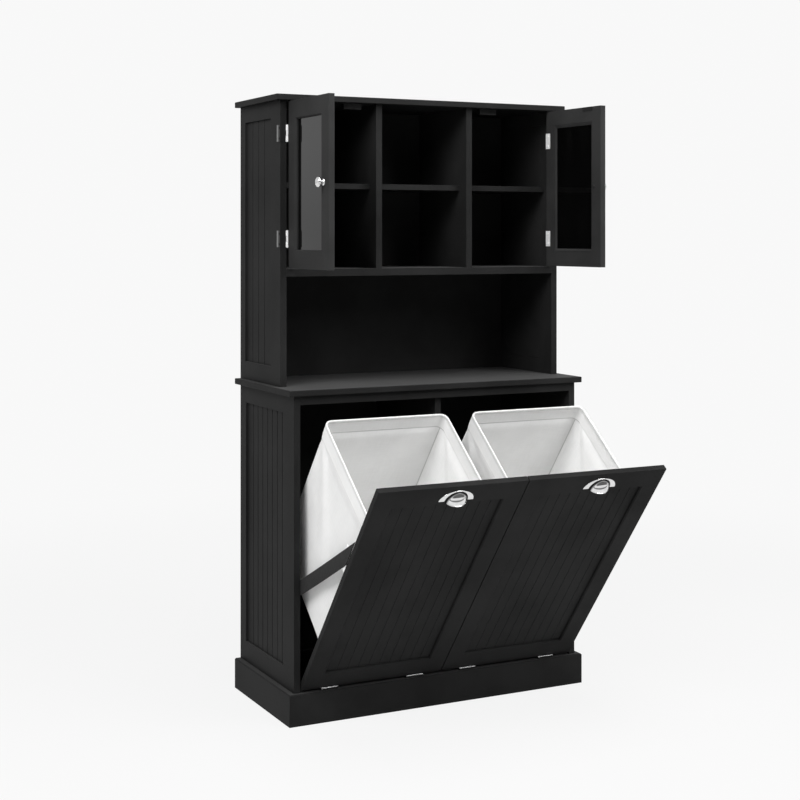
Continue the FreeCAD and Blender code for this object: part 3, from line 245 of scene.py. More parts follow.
def smokedGlass():
    finish = Finish("smokedGlass")
    spot = finish.place()
    wipe = finish.noise(finish.stretched(spot, (9.0, 9.0, 2.2)), 3.0, 4.0)
    waver = finish.noise(spot, 3.2, 1.0)
    return finish.surface({
        "Base Color": finish.blend(wipe.step(0.45, 0.8), grey(glass["clean"]), grey(glass["wiped"])),
        "Roughness": glass["rough"] + wipe.step(0.4, 0.85) * glass["smear"],
        "IOR": glass["index"],
        "Specular IOR Level": glass["gloss"],
        "Normal": finish.bump(waver, 0.02, glass["waver"]),
    })


# chrome plate: bright, with a little haze and fine scuffs, and painted shade in the crease where a cup
# meets its plate
chrome = {"bright": 0.80, "hazy": 0.70, "creaseShade": 0.02, "rough": 0.045, "haze": 0.05, "scuff": 0.05,
          "dull": 0.6, "relief": 0.05 * mm}


def polishedChrome():
    finish = Finish("polishedChrome")
    spot = finish.place()
    haze = finish.noise(spot, 60.0)
    scuff = finish.noise(finish.stretched(spot, (1.0, 6.0, 1.0)), 420.0, 2.0)
    # painted shade: a per-point mask darkens the crease between cup and plate and dulls it
    creaseShadeMask = finish.node("ShaderNodeAttribute", {"attribute_name": "creaseShadeMask"}, out="Fac")
    plated = finish.blend(haze.step(0.35, 0.75), grey(chrome["bright"]), grey(chrome["hazy"]))
    hazed = haze.step(0.45, 0.8) * chrome["haze"]
    scuffed = scuff.step(0.62, 0.75) * chrome["scuff"]
    return finish.surface({
        "Base Color": finish.blend(creaseShadeMask, plated, grey(chrome["creaseShade"])),
        "Metallic": 1.0,
        "Roughness": chrome["rough"] + hazed + scuffed + creaseShadeMask * chrome["dull"],
        "Normal": finish.bump(scuff, 0.015, chrome["relief"]),
    })


# brushed hinge steel
steel = {"bright": 0.90, "stained": 0.80, "metal": 0.3, "rough": 0.32, "along": (1.0, 1.0, 0.04),
         "brushScale": 2600.0, "relief": 0.08 * mm}


def brushing(finish, spot):
    return finish.noise(finish.stretched(spot, steel["along"]), steel["brushScale"], 2.0)


def hingeSteel():
    finish = Finish("hingeSteel")
    spot = finish.place()
    brush = brushing(finish, spot)
    stain = finish.noise(spot, 130.0)
    return finish.surface({
        "Base Color": finish.blend(stain.step(0.4, 0.75), grey(steel["bright"]), grey(steel["stained"])),
        "Metallic": steel["metal"],
        "Roughness": steel["rough"] + brush * 0.10 + stain.step(0.45, 0.8) * 0.08,
        "Normal": finish.bump(brush, 0.05, steel["relief"]),
    })


# hinge leaves sprayed with the cabinet: bare knuckles, and a wrapped leaf's back edge rubbed thin
leafCoat = {"black": 0.015, "streak": 1.3, "rubbed": 0.17, "bare": 0.88, "rough": 0.36, "gloss": 0.10,
            "knuckles": 417.5 * mm, "backEdge": -84 * mm, "topOfBarrel": 88.3 * mm, "blur": 0.4 * mm}


def coatedLeaf(name, wrapped):
    finish = Finish(name)
    spot = finish.place()
    x, y, z = finish.parts(spot)
    blur = leafCoat["blur"]
    black = leafCoat["black"]
    brush = brushing(finish, spot)
    if wrapped:
        bare = abs(x).fall(leafCoat["knuckles"] - blur, leafCoat["knuckles"] + blur)
        rubbed = y.step(leafCoat["backEdge"] - blur, leafCoat["backEdge"] + blur)
        coat = finish.blend(rubbed, grey(black), grey(leafCoat["rubbed"]))
    else:
        bare = z.step(leafCoat["topOfBarrel"] - blur, leafCoat["topOfBarrel"] + blur)
        coat = finish.blend(brush, grey(black), grey(black * leafCoat["streak"]))
    return finish.surface({
        "Base Color": finish.blend(bare, coat, grey(leafCoat["bare"])),
        "Metallic": bare * steel["metal"],
        "Roughness": leafCoat["rough"] + brush * 0.10,
        "Specular IOR Level": leafCoat["gloss"],
        "Normal": finish.bump(brush, 0.05, steel["relief"]),
    })


# moulded black plastic with a fine grain
plastic = {"dark": 0.010, "light": 0.017, "rough": 0.42, "gloss": 0.12, "relief": 0.12 * mm,
           "edge": 0.5 * mm}


def blackPlastic():
    finish = Finish("blackPlastic")
    spot = finish.place()
    grain = finish.noise(spot, 1500.0, 2.0)
    cloud = finish.noise(spot, 45.0, 2.0)
    return finish.surface({
        "Base Color": finish.blend(cloud.step(0.35, 0.7), grey(plastic["dark"]), grey(plastic["light"])),
        "Roughness": plastic["rough"] + (grain - 0.5) * 0.18,
        "Specular IOR Level": plastic["gloss"],
        "Normal": finish.bump(grain, 0.18, plastic["relief"], finish.softEdge(plastic["edge"])),
    })


# wire dipped in white
dipped = {"white": grey(0.70), "cream": (0.66, 0.66, 0.64, 1), "rough": 0.34, "relief": 0.2 * mm}


def whiteWire():
    finish = Finish("whiteWire")
    spot = finish.place()
    dip = finish.noise(spot, 220.0)
    return finish.surface({
        "Base Color": finish.blend(dip.step(0.4, 0.7), dipped["white"], dipped["cream"]),
        "Roughness": dipped["rough"] + (dip - 0.5) * 0.15,
        "Normal": finish.bump(dip, 0.10, dipped["relief"]),
    })


# the bags' shape, in front-local metres; the rim bead goes round the wire
bag = {
    "centre": 214.5 * mm, "width": 355.6 * mm, "depth": 346.6 * mm, "middle": 193.6 * mm,
    "floor": 142.4 * mm, "rim": 622.6 * mm, "corner": 19 * mm, "floorRound": 6 * mm,
    "hemSeam": 577 * mm, "seamRise": 1.5 * mm, "spacing": 15 * mm, "rows": 28, "wallCuts": 10,
    "rimRows": (588 * mm, 599 * mm, 609 * mm, 613.5 * mm, 617.7 * mm),
    "wall": 1.7 * mm, "hem": 2.6 * mm, "neck": 3.8 * mm, "bead": 5.6 * mm, "lip": 4.2 * mm,
    "layerOffset": -0.82, "weld": 0.05 * mm,
    "fold": 0.24, "foldFade": 25 * mm, "grip": (552 * mm, 582 * mm),
    "frontLimit": 20.2 * mm, "swing": 6 * mm, "steps": 24,
}
# stiff white cloth: plain weave, slubs, sewn corners and a stitched hem, with painted shade along the seams
cloth = {
    "weave": 1.3 * mm, "relief": 0.45 * mm, "rough": 0.86, "gloss": 0.18, "sheen": (0.12, 0.5),
    "cornerFold": (3 * mm, 5 * mm), "cornerSeamShade": (1.3 * mm, 2.8 * mm), "seamEnd": 2 * mm,
    "hemSeam": (0.7 * mm, 1.9 * mm), "backWall": (30 * mm, 24 * mm), "hemElsewhere": 0.3,
    "stitch": 3.6 * mm, "stitchRise": 4 * mm, "stitchWidth": (0.3 * mm, 0.8 * mm),
    "binding": (611 * mm, 614 * mm),
    "plain": (0.80, 0.80, 0.795, 1), "bleached": (0.855, 0.855, 0.85, 1), "tape": (0.66, 0.66, 0.655, 1),
    "slub": (0.89, 0.89, 0.885, 1), "seam": (0.36, 0.36, 0.355, 1), "thread": (0.90, 0.90, 0.89, 1),
}


def whiteCloth():
    finish = Finish("whiteCloth")
    # the front's lean is taken out, so that the weave runs along the walls
    spot = finish.place(turn=(-tilt["angle"], 0, 0))
    x, y, z = finish.parts(spot)
    offset = toFront.inverted().translation
    behind = y + offset[1]
    up = z + offset[2]
    pitch = cloth["weave"]
    weave = x.ripple(pitch) * 0.34 + behind.ripple(pitch) * 0.33 + up.ripple(pitch) * 0.33
    slub = finish.noise(finish.stretched(spot, (260.0, 260.0, 26.0)), 1.0)
    slubAcross = finish.noise(finish.stretched(spot, (26.0, 26.0, 260.0)), 1.0)
    cloud = finish.noise(spot, 9.0, 4.0)
    # the sewn corners, folded into one quarter of the bag; painted shade runs down their seams
    across = abs(abs(x) - bag["centre"])
    deep = abs(behind - bag["middle"])
    cornerX = across - (bag["width"] / 2 - bag["corner"])
    cornerY = deep - (bag["depth"] / 2 - bag["corner"])
    inCorner = cornerX.step(*cloth["cornerFold"]) * cornerY.step(*cloth["cornerFold"])
    belowHem = up.fall(bag["hemSeam"] - cloth["seamEnd"], bag["hemSeam"])
    cornerSeamShade = abs(cornerX - cornerY).fall(*cloth["cornerSeamShade"]) * inCorner * belowHem
    # the hem's seam, a line of painted shade, strongest on the back wall
    wallStart, wallFull = (bag["depth"] / 2 - inset for inset in cloth["backWall"])
    onBackWall = (behind - bag["middle"]).step(wallStart, wallFull, cloth["hemElsewhere"], 1.0)
    hemSeam = abs(up - bag["hemSeam"]).fall(*cloth["hemSeam"]) * onBackWall
    dash = (x + behind + up).ripple(cloth["stitch"]).step(-0.55, -0.15)
    stitch = abs(up - bag["hemSeam"] - cloth["stitchRise"]).fall(*cloth["stitchWidth"]) * dash
    seam = cornerSeamShade.most(hemSeam)
    plain = finish.blend(cloud.step(0.3, 0.72), cloth["plain"], cloth["bleached"])
    body = finish.blend(up.step(*cloth["binding"]), plain, cloth["tape"])
    slubbed = finish.blend((slub + slubAcross - 1).step(-0.12, 0.16) * 0.30, body, cloth["slub"])
    # the seams darkened with painted shade
    sewn = finish.blend(seam * 0.62, slubbed, cloth["seam"])
    height = weave * 0.45 + slub * 0.35 + slubAcross * 0.35 + stitch * 0.8 - seam * 1.2
    sheen, sheenRough = cloth["sheen"]
    return finish.surface({
        "Base Color": finish.blend(stitch * 0.35, sewn, cloth["thread"]),
        "Roughness": cloth["rough"] + (cloud - 0.5) * 0.12,
        "Specular IOR Level": cloth["gloss"],
        "Sheen Weight": sheen,
        "Sheen Roughness": sheenRough,
        "Normal": finish.bump(height, 0.30, cloth["relief"]),
    })


# the straps' run in the plane of the cabinet's side, in metres
strap = {
    "start": (-0.4964, 0.5031), "end": (-0.1380, 0.3350), "tail": 12 * mm, "near": 413.15 * mm,
    "thickness": 1.3 * mm, "width": 37.4 * mm, "soft": 0.45 * mm, "bow": 1.6 * mm, "cuts": 40,
    "cutBack": 60 * mm, "meet": 0.5 * mm, "folded": 0.04,
}
strapRun = Vector((strap["end"][0] - strap["start"][0], strap["end"][1] - strap["start"][1]))
strapTurn = math.atan2(strapRun.y, strapRun.x)
# webbing: ribs along the strap, a fine zigzag across it, furred all over
webbing = {"rib": 2.4 * mm, "zigzag": 1.5 * mm, "relief": 0.4 * mm, "dark": 0.007, "faded": 0.012,
           "furred": 0.020, "rough": 0.74, "gloss": 0.15, "sheen": 0.04}


def blackWebbing():
    finish = Finish("blackWebbing")
    spot = finish.place(turn=(-strapTurn, 0, 0))
    along, across = finish.parts(spot)[1:]
    ribs = across.ripple(webbing["rib"])
    zigzag = (along * (2 * math.pi / webbing["zigzag"]) + abs(ribs) * 2.0).sine()
    fluff = finish.noise(spot, 700.0)
    fade = finish.noise(spot, 24.0)
    tone = finish.blend(fade.step(0.35, 0.7), grey(webbing["dark"]), grey(webbing["faded"]))
    fur = (zigzag * 0.5 + fluff * 0.6).step(0.1, 0.8) * 0.5
    return finish.surface({
        "Base Color": finish.blend(fur, tone, grey(webbing["furred"])),
        "Roughness": webbing["rough"] + (fluff - 0.5) * 0.2,
        "Specular IOR Level": webbing["gloss"],
        "Sheen Weight": webbing["sheen"],
        "Normal": finish.bump(ribs * 0.5 + zigzag * 0.35 + fluff * 0.3, 0.5, webbing["relief"]),
    })


finishes = {
    "black_paint": blackPaint("blackPaint"),
    "smoked_glass": smokedGlass(),
    "polished_chrome": polishedChrome(),
    "hinge_steel": hingeSteel(),
    "white_cloth": whiteCloth(),
    "white_wire": whiteWire(),
    "black_webbing": blackWebbing(),
    "black_plastic": blackPlastic(),
}
slotStarts = {
    "glass_pane": "smoked_glass",
    "door_knob": "polished_chrome", "cup_pull": "polished_chrome",
    "glass_hinge": "hinge_steel", "tilt_hinge": "hinge_steel",
    "strap_bracket": "hinge_steel",
    "laundry_bag": "white_cloth", "bag_frame": "white_wire",
    "stay_strap": "black_webbing",
    "magnetic_catches": "black_plastic", "strap_anchors": "black_plastic",
}
# finishes that differ from the rest of their slot; the glass doors' paint is a lighter copy of the black
# paint, painted light
doorPaintLit = blackPaint("blackDoorPaintLit", paint["doorLitShare"])
tiltLeaf = coatedLeaf("tiltLeaf", False)
ownFinish = {
    "glass_door_frame_left": doorPaintLit, "glass_door_frame_right": doorPaintLit,
    "glass_hinge_side_leaves": coatedLeaf("wrappedLeaf", True), "tilt_hinge_base_leaves": tiltLeaf,
    "tilt_hinge_door_leaves_left": tiltLeaf, "tilt_hinge_door_leaves_right": tiltLeaf,
    "tilt_hinge_pins": tiltLeaf,
}
for nodeName, node in nodes.items():
    fitting = (slot for start, slot in slotStarts.items() if nodeName.startswith(start))
    slotName = next(fitting, "black_paint")
    node.data.materials.clear()
    node.data.materials.append(ownFinish.get(nodeName, finishes[slotName]))
print("finishes on", len(nodes), "CAD nodes")


def deselect():
    if bpy.context.mode != "OBJECT":
        bpy.ops.object.mode_set(mode="OBJECT")
    bpy.ops.object.select_all(action="DESELECT")


def started(name):
    # names the primitive just added and puts its place into its mesh
    piece = bpy.context.object
    piece.name = name
    piece.data.name = name
    bpy.ops.object.transform_apply(location=True, rotation=True, scale=True)
    return piece


def only(piece):
    deselect()
    piece.select_set(True)
    bpy.context.view_layer.objects.active = piece


def editing(piece):
    only(piece)
    bpy.ops.object.mode_set(mode="EDIT")


def pickAll():
    bpy.ops.mesh.select_all(action="SELECT")


def pick(piece, kind, test):
    bpy.ops.mesh.select_mode(type=kind)
    bpy.ops.mesh.select_all(action="DESELECT")
    shape = bmesh.from_edit_mesh(piece.data)
    for item in {"VERT": shape.verts, "EDGE": shape.edges, "FACE": shape.faces}[kind]:
        if test(item):
            item.select_set(True)
    shape.select_flush_mode()
    bmesh.update_edit_mesh(piece.data)


def runsAlong(edge, axis):
    return abs((edge.verts[0].co - edge.verts[1].co).normalized()[axis]) > 0.95


def cut(place, direction, **more):
    pickAll()
    bpy.ops.mesh.bisect(plane_co=place, plane_no=direction, **more)


def modify(piece, kind, **settings):
    only(piece)
    modifier = piece.modifiers.new(kind.lower(), kind)
    for key, value in settings.items():
        setattr(modifier, key, value)
    bpy.ops.object.modifier_apply(modifier=modifier.name)


def eased(piece, width, segments, angle=50):
    # rounds the edges that are sharper than the angle
    modify(piece, "BEVEL", width=width, segments=segments, limit_method="ANGLE",
           angle_limit=math.radians(angle))


def smooth(piece, angle=40):
    only(piece)
    bpy.ops.object.shade_smooth_by_angle(angle=math.radians(angle))


def faceOut(piece):
    editing(piece)
    pickAll()
    bpy.ops.mesh.normals_make_consistent(inside=False)
    bpy.ops.object.mode_set(mode="OBJECT")


def copied(piece, name, matrix):
    twin = piece.copy()
    twin.data = piece.data.copy()
    twin.name = name
    twin.data.name = name
    bpy.context.scene.collection.objects.link(twin)
    twin.data.transform(matrix)
    return twin


def joined(pieces, name):
    deselect()
    for piece in pieces:
        piece.select_set(True)
    bpy.context.view_layer.objects.active = pieces[0]
    bpy.ops.object.join()
    whole = bpy.context.object
    whole.name = name
    whole.data.name = name
    return whole


def settled(piece, body, slot, *stoodFor):
    piece.data.materials.clear()
    piece.data.materials.append(finishes[slot])
    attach(piece, body)
    if stoodFor:
        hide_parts(*stoodFor)


def turned(name, profile, rounds):
    # grown ring by ring along z from a filled circle; the profile is in millimetres
    deselect()
    (radius, height), *rest = [(radius * mm, height * mm) for radius, height in profile]
    bpy.ops.mesh.primitive_circle_add(vertices=rounds, radius=radius, fill_type="NGON",
                                      location=(0, 0, height))
    piece = started(name)
    bpy.ops.object.mode_set(mode="EDIT")
    for nextRadius, nextHeight in rest:
        bpy.ops.mesh.extrude_region_move(TRANSFORM_OT_translate={"value": (0, 0, nextHeight - height)})
        share = nextRadius / radius
        bpy.ops.transform.resize(value=(share, share, 1), center_override=(0, 0, nextHeight))
        radius, height = nextRadius, nextHeight
    faceOut(piece)
    return piece


# laundry bags: a box shell cut into a grid, let sag from its rim, then given its cloth
def clothThickness(up):
    beadStart, neck, fullest = bag["rimRows"][-3:]
    levels = [(0.0, bag["wall"]), (bag["hemSeam"] - bag["seamRise"], bag["wall"]),
              (bag["hemSeam"], bag["hem"]), (beadStart, bag["hem"]), (neck, bag["neck"]),
              (fullest, bag["bead"]), (bag["rim"], bag["lip"])]
    for (low, thin), (high, thick) in zip(levels, levels[1:]):
        if up <= high:
            return thin + (thick - thin) * max(0.0, up - low) / (high - low)
    return bag["lip"]


def makeBag(name, centre):
    deselect()
    height = bag["rim"] - bag["floor"]
    bpy.ops.mesh.primitive_cube_add(size=1, location=(centre, bag["middle"], bag["floor"] + height / 2),
                                    scale=(bag["width"], bag["depth"], height))
    piece = started(name)
    editing(piece)
    pick(piece, "FACE", lambda face: face.normal.z > 0.9)
    bpy.ops.mesh.delete(type="FACE")
    pick(piece, "EDGE", lambda edge: runsAlong(edge, 2))
    bpy.ops.mesh.bevel(offset=bag["corner"], segments=4, profile=0.5)
    pick(piece, "EDGE", lambda edge: all(corner.co.z < bag["floor"] + touch for corner in edge.verts))
    bpy.ops.mesh.bevel(offset=bag["floorRound"], segments=2, profile=0.5)
    rows = [bag["floor"] + bag["spacing"] * (number + 1) for number in range(bag["rows"])]
    for row in (*rows, bag["hemSeam"] - bag["seamRise"], bag["hemSeam"], *bag["rimRows"]):
        cut((0, 0, row), (0, 0, 1))
    for number in range(-bag["wallCuts"], bag["wallCuts"] + 1):
        cut((centre + number * bag["spacing"], 0, 0), (1, 0, 0))
        cut((0, bag["middle"] + number * bag["spacing"], 0), (0, 1, 0))
    pickAll()
    bpy.ops.mesh.remove_doubles(threshold=bag["weld"])
    bpy.ops.object.mode_set(mode="OBJECT")
    # below the hem the corners are folded sharper than the wire bends the rim
    for corner in piece.data.vertices:
        fromMiddle = Vector((corner.co.x - centre, corner.co.y - bag["middle"]))
        across = abs(fromMiddle.x) - (bag["width"] / 2 - bag["corner"])
        deep = abs(fromMiddle.y) - (bag["depth"] / 2 - bag["corner"])
        if across > 0 and deep > 0:
            slant = 2 * across * deep / (across ** 2 + deep ** 2)
            push = bag["fold"] * clamped((bag["hemSeam"] - corner.co.z) / bag["foldFade"]) * slant ** 1.5
            corner.co.x += math.copysign(across * push, fromMiddle.x)
            corner.co.y += math.copysign(deep * push, fromMiddle.y)
    return piece


# how the cloth falls from its held rim, before its swing is capped
hang = {"quality": 8, "mass": 0.18, "tension_stiffness": 45, "compression_stiffness": 45,
        "shear_stiffness": 25, "bending_stiffness": 6, "vertex_group_mass": "held"}


def letSag(piece):
    start = [corner.co.copy() for corner in piece.data.vertices]
    piece.data.transform(toFront)
    held = piece.vertex_groups.new(name=hang["vertex_group_mass"])
    loose, tight = bag["grip"]
    for corner, place in zip(piece.data.vertices, start):
        held.add([corner.index], clamped((place.z - loose) / (tight - loose)), "REPLACE")
    only(piece)
    sag = piece.modifiers.new("sag", "CLOTH")
    for key, value in hang.items():
        setattr(sag.settings, key, value)
    sag.collision_settings.use_collision = False
    scene = bpy.context.scene
    for number in range(1, bag["steps"] + 1):
        scene.frame_set(number)
    bpy.ops.object.modifier_apply(modifier=sag.name)
    scene.frame_set(1)
    piece.data.transform(toFront.inverted())
    # no point goes further than the cap, or into the front
    furthest = 0.0
    for corner, place in zip(piece.data.vertices, start):
        move = corner.co - place
        furthest = max(furthest, move.length)
        if move.length > bag["swing"]:
            corner.co = place + move.normalized() * bag["swing"]
        corner.co.y = max(corner.co.y, bag["frontLimit"])
    print("bag sag reached", round(furthest / mm, 1), "mm")


def clothe(piece, body, node):
    group = piece.vertex_groups.new(name="layers")
    for corner in piece.data.vertices:
        group.add([corner.index], clothThickness(corner.co.z) / bag["bead"], "REPLACE")
    modify(piece, "SOLIDIFY", thickness=bag["bead"], offset=bag["layerOffset"],
           vertex_group=group.name, use_even_offset=True)
    modify(piece, "SUBSURF", levels=1, render_levels=1)
    piece.vertex_groups.clear()
    only(piece)
    bpy.ops.object.shade_smooth()
    piece.data.transform(toFront)
    settled(piece, body, "white_cloth", node)


leftBag = makeBag("laundryBagLeft", -bag["centre"])
letSag(leftBag)
rightBag = copied(leftBag, "laundryBagRight", Matrix.Translation((2 * bag["centre"], 0, 0)))
clothe(leftBag, "tilt_front_left", "laundry_bag_left")
clothe(rightBag, "tilt_front_right", "laundry_bag_right")
print("bags sewn")

# bag frames: the wire loop inside the rim, and the flat steel tabs that hold it
wireFrame = {
    "width": 350 * mm, "depth": 341 * mm, "level": 617.2 * mm, "radius": 1.9 * mm, "corner": 17.5 * mm,
    "near": 37 * mm, "tabs": (77 * mm, 278 * mm), "tabWidth": 33.6 * mm, "tabThick": 2.8 * mm,
    "tabLow": 615 * mm, "tabHigh": 714 * mm, "tabRound": 8 * mm, "soft": 0.5 * mm, "face": 18.3 * mm,
}


def makeLoop(name, side):
    deselect()
    middle = (side * bag["centre"], bag["middle"], wireFrame["level"])
    bpy.ops.mesh.primitive_plane_add(size=1, location=middle)
    loop = started(name)
    editing(loop)
    bpy.ops.transform.resize(value=(wireFrame["width"], wireFrame["depth"], 1), center_override=middle)
    bpy.ops.mesh.bevel(affect="VERTICES", offset=wireFrame["corner"], segments=6)
    bpy.ops.mesh.delete(type="ONLY_FACE")
    only(loop)
    bpy.ops.object.convert(target="CURVE")
    wire = bpy.context.object.data
    wire.bevel_depth = wireFrame["radius"]
    wire.bevel_resolution = 3
    bpy.ops.object.convert(target="MESH")
    return bpy.context.object


def makeTab(side, near):
    deselect()
    thick = wireFrame["tabThick"]
    tall = wireFrame["tabHigh"] - wireFrame["tabLow"]
    middle = (side * (wireFrame["near"] + near), wireFrame["face"] + thick / 2,
              wireFrame["tabLow"] + tall / 2)
    bpy.ops.mesh.primitive_cube_add(size=1, scale=(wireFrame["tabWidth"], thick, tall), location=middle)
    tab = started("bagFrameTab")
    editing(tab)
    top = wireFrame["tabHigh"] - touch
    pick(tab, "EDGE", lambda edge: runsAlong(edge, 1) and edge.verts[0].co.z > top)
    bpy.ops.mesh.bevel(offset=wireFrame["tabRound"], segments=5)
    eased(tab, wireFrame["soft"], 2)
    return tab


for name, side in sides.items():
    pieces = [makeLoop(f"bagFrame{name.title()}", side)]
    pieces += [makeTab(side, near) for near in wireFrame["tabs"]]
    piece = joined(pieces, f"bagFrame{name.title()}")
    piece.data.transform(toFront)
    smooth(piece)
    settled(piece, f"tilt_front_{name}", "white_wire", f"bag_frame_{name}")
print("bag frames bent")


# stay straps: flat webbing, nearly taut
def makeStrap(name, side):
    deselect()
    length = strapRun.length + strap["tail"]
    bpy.ops.mesh.primitive_cube_add(size=1, scale=(strap["thickness"], length, strap["width"]),
                                    location=(0, length / 2, 0))
    piece = started(name)
    editing(piece)
    for number in range(1, strap["cuts"]):
        cut((0, length * number / strap["cuts"], 0), (0, 1, 0))
    bpy.ops.object.mode_set(mode="OBJECT")
    eased(piece, strap["soft"], 2)
    place = Matrix.Rotation(strapTurn, 4, "X")
    # the end at the front is cut along the front's inner face
    run, rise = place.to_3x3() @ Vector((0, 1, 0)), place.to_3x3() @ Vector((0, 0, 1))
    slant = rise.dot(frontNormal) / run.dot(frontNormal)
    for corner in piece.data.vertices:
        share = corner.co.y / length
        nearFront = max(0.0, 1 - corner.co.y / strap["cutBack"])
        corner.co.y -= (corner.co.z * slant + strap["meet"]) * nearFront
        corner.co.z -= strap["bow"] * 4 * share * (1 - share)
    place.translation = (side * (strap["near"] + strap["thickness"] / 2), *strap["start"])
    piece.data.transform(place)
    smooth(piece)
    return piece


for name, side in sides.items():
    piece = makeStrap(f"stayStrap{name.title()}", side)
    settled(piece, "carcass", "black_webbing", f"stay_strap_{name}")
    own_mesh(piece)
print("straps laid")

# door knobs: a turned head on a neck, and the bolt's head behind the door
knob = {
    "along": 229.7 * mm, "height": 1409.5 * mm,
    "profile": [(9.0, 0.0), (9.0, 1.2), (8.3, 1.9), (6.2, 2.6), (5.5, 3.6), (5.6, 5.0), (6.8, 6.6),
                (9.4, 8.4), (12.0, 10.4), (13.6, 12.6), (14.0, 14.4), (13.3, 16.6), (11.2, 18.8),
                (7.8, 20.3), (3.9, 20.9), (0.6, 21.0)],
    "bolt": [(4.5, 0.0), (4.5, 0.9), (4.1, 1.6), (3.0, 2.05), (1.5, 2.2), (0.3, 2.2)],
}
knobHead = turned("knobHead", knob["profile"], 48)
boltHead = turned("boltHead", knob["bolt"], 24)
outTurn = Matrix.Rotation(-quarter, 4, "X")  # z to +y
inTurn = Matrix.Rotation(quarter, 4, "X")
for name in sides:
    spot = Matrix.Translation((knob["along"], 0, knob["height"]))
    back = Matrix.Translation((knob["along"], -glassPin["thickness"], knob["height"]))
    head = copied(knobHead, f"doorKnob{name.title()}", doorMatrix(name) @ spot @ outTurn)
    bolt = copied(boltHead, f"knobBolt{name.title()}", doorMatrix(name) @ back @ inTurn)
    for piece in (head, bolt):
        faceOut(piece)
        smooth(piece, 50)
    settled(head, f"glass_door_{name}", "polished_chrome", f"door_knob_{name}")
    settled(bolt, f"glass_door_{name}", "black_plastic")
bpy.data.objects.remove(knobHead)
bpy.data.objects.remove(boltHead)
print("knobs turned")

# glazing beads: a sloping strip round the back of each pane
bead = {"along": (41.6 * mm, 221.1 * mm), "up": (1229.6 * mm, 1589.4 * mm), "back": -15.9 * mm,
        "glass": -11.05 * mm, "width": 7.6 * mm, "fall": 4.0 * mm, "soft": 0.5 * mm}


def makeBead():
    deselect()
    low, high = zip(bead["along"], (bead["back"], bead["glass"]), bead["up"])
    middle = [(start + end) / 2 for start, end in zip(low, high)]
    size = [end - start for start, end in zip(low, high)]
    bpy.ops.mesh.primitive_cube_add(size=1, scale=size, location=middle)
    piece = started("glazingBead")
    editing(piece)
    pick(piece, "FACE", lambda face: abs(face.normal.y) > 0.9)
    bpy.ops.mesh.inset(thickness=bead["width"], use_individual=True)
    bpy.ops.mesh.bridge_edge_loops()
    rim = bead["width"] - touch

    def innerBack(corner):
        within = all(low[axis] + rim < corner.co[axis] < high[axis] - rim for axis in (0, 2))
        return within and corner.co.y < middle[1]

    pick(piece, "VERT", innerBack)
    bpy.ops.transform.translate(value=(0, bead["fall"], 0))
    bpy.ops.object.mode_set(mode="OBJECT")
    eased(piece, bead["soft"], 2, 25)
    return piece


firstBead = makeBead()
for name in sides:
    piece = copied(firstBead, f"glazingBeads{name.title()}", doorMatrix(name))
    faceOut(piece)
    smooth(piece, 35)
    settled(piece, f"glass_door_{name}", "black_paint", f"glazing_beads_{name}")
    # the beads take the doors' lighter copy of the paint, painted light
    piece.data.materials[0] = doorPaintLit
bpy.data.objects.remove(firstBead)
print("beads fitted")

# cup pulls: a quarter shell with a small lip on a half-oval plate
pull = {
    "centre": 207.25 * mm, "shift": 15.5 * mm, "base": 695.9 * mm, "face": 3.2 * mm,
    "cup": (28 * mm, 20.3 * mm, 27.5 * mm), "wall": 1.9 * mm, "cupBack": -0.2 * mm, "mouth": 0.05 * mm,
    "lip": (0, -0.5 * mm, -0.02 * mm), "lipSpread": 1.02, "cupSoft": 0.6 * mm,
    "plate": (48 * mm, 34 * mm), "plateThick": 2.3 * mm, "plateSoft": 0.9 * mm,
    "root": 6.5 * mm, "flare": 0.17, "creaseShadeStart": -1.2, "creaseShadeAside": 1.1, "creaseShadeRise": 3,
}


def makeCup():
    deselect()
    bpy.ops.mesh.primitive_uv_sphere_add(segments=64, ring_count=32, radius=1)
    cup = started("pullCup")
    editing(cup)
    pickAll()
    bpy.ops.transform.resize(value=pull["cup"], center_override=(0, 0, 0))
    cut((0, pull["cupBack"], 0), (0, 1, 0), clear_outer=True)
    cut((0, 0, pull["mouth"]), (0, 0, -1), clear_outer=True)
    # the mouth's edge is drawn out into a small flared lip
    pick(cup, "EDGE", lambda edge: all(corner.co.z < 2 * pull["mouth"] for corner in edge.verts))
    bpy.ops.mesh.extrude_region_move(TRANSFORM_OT_translate={"value": pull["lip"]})
    bpy.ops.transform.resize(value=(pull["lipSpread"], 1, 1), center_override=(0, 0, 0))
    bpy.ops.object.mode_set(mode="OBJECT")
    # the cup runs into its plate in a hollow curve, with painted shade in the crease
    creaseShadeMask = cup.data.attributes.new("creaseShadeMask", "FLOAT", "POINT")
    for corner in cup.data.vertices:
        share = clamped((corner.co.y + pull["plateThick"] + pull["root"]) / pull["root"])
        spread = 1 + pull["flare"] * share ** 2
        corner.co.x *= spread
        corner.co.z *= spread
        aside = abs(corner.co.x) / pull["cup"][0]
        creaseShade = pull["creaseShadeStart"] + pull["creaseShadeRise"] * share + pull["creaseShadeAside"] * aside
        creaseShadeMask.data[corner.index].value = clamped(creaseShade)
    modify(cup, "SOLIDIFY", thickness=pull["wall"], offset=-1, use_even_offset=True)
    eased(cup, pull["cupSoft"], 3, 60)
    return cup


def makePlate():
    deselect()
    bpy.ops.mesh.primitive_circle_add(vertices=96, radius=1, fill_type="NGON", rotation=(quarter, 0, 0))
    plate = started("pullPlate")
    editing(plate)
    pickAll()
    wide, tall = pull["plate"]
    bpy.ops.transform.resize(value=(wide, 1, tall), center_override=(0, 0, 0))
    cut((0, 0, 0), (0, 0, -1), clear_outer=True)
    pickAll()
    bpy.ops.mesh.extrude_region_move(TRANSFORM_OT_translate={"value": (0, -pull["plateThick"], 0)})
    faceOut(plate)
    eased(plate, pull["plateSoft"], 3)
    return plate


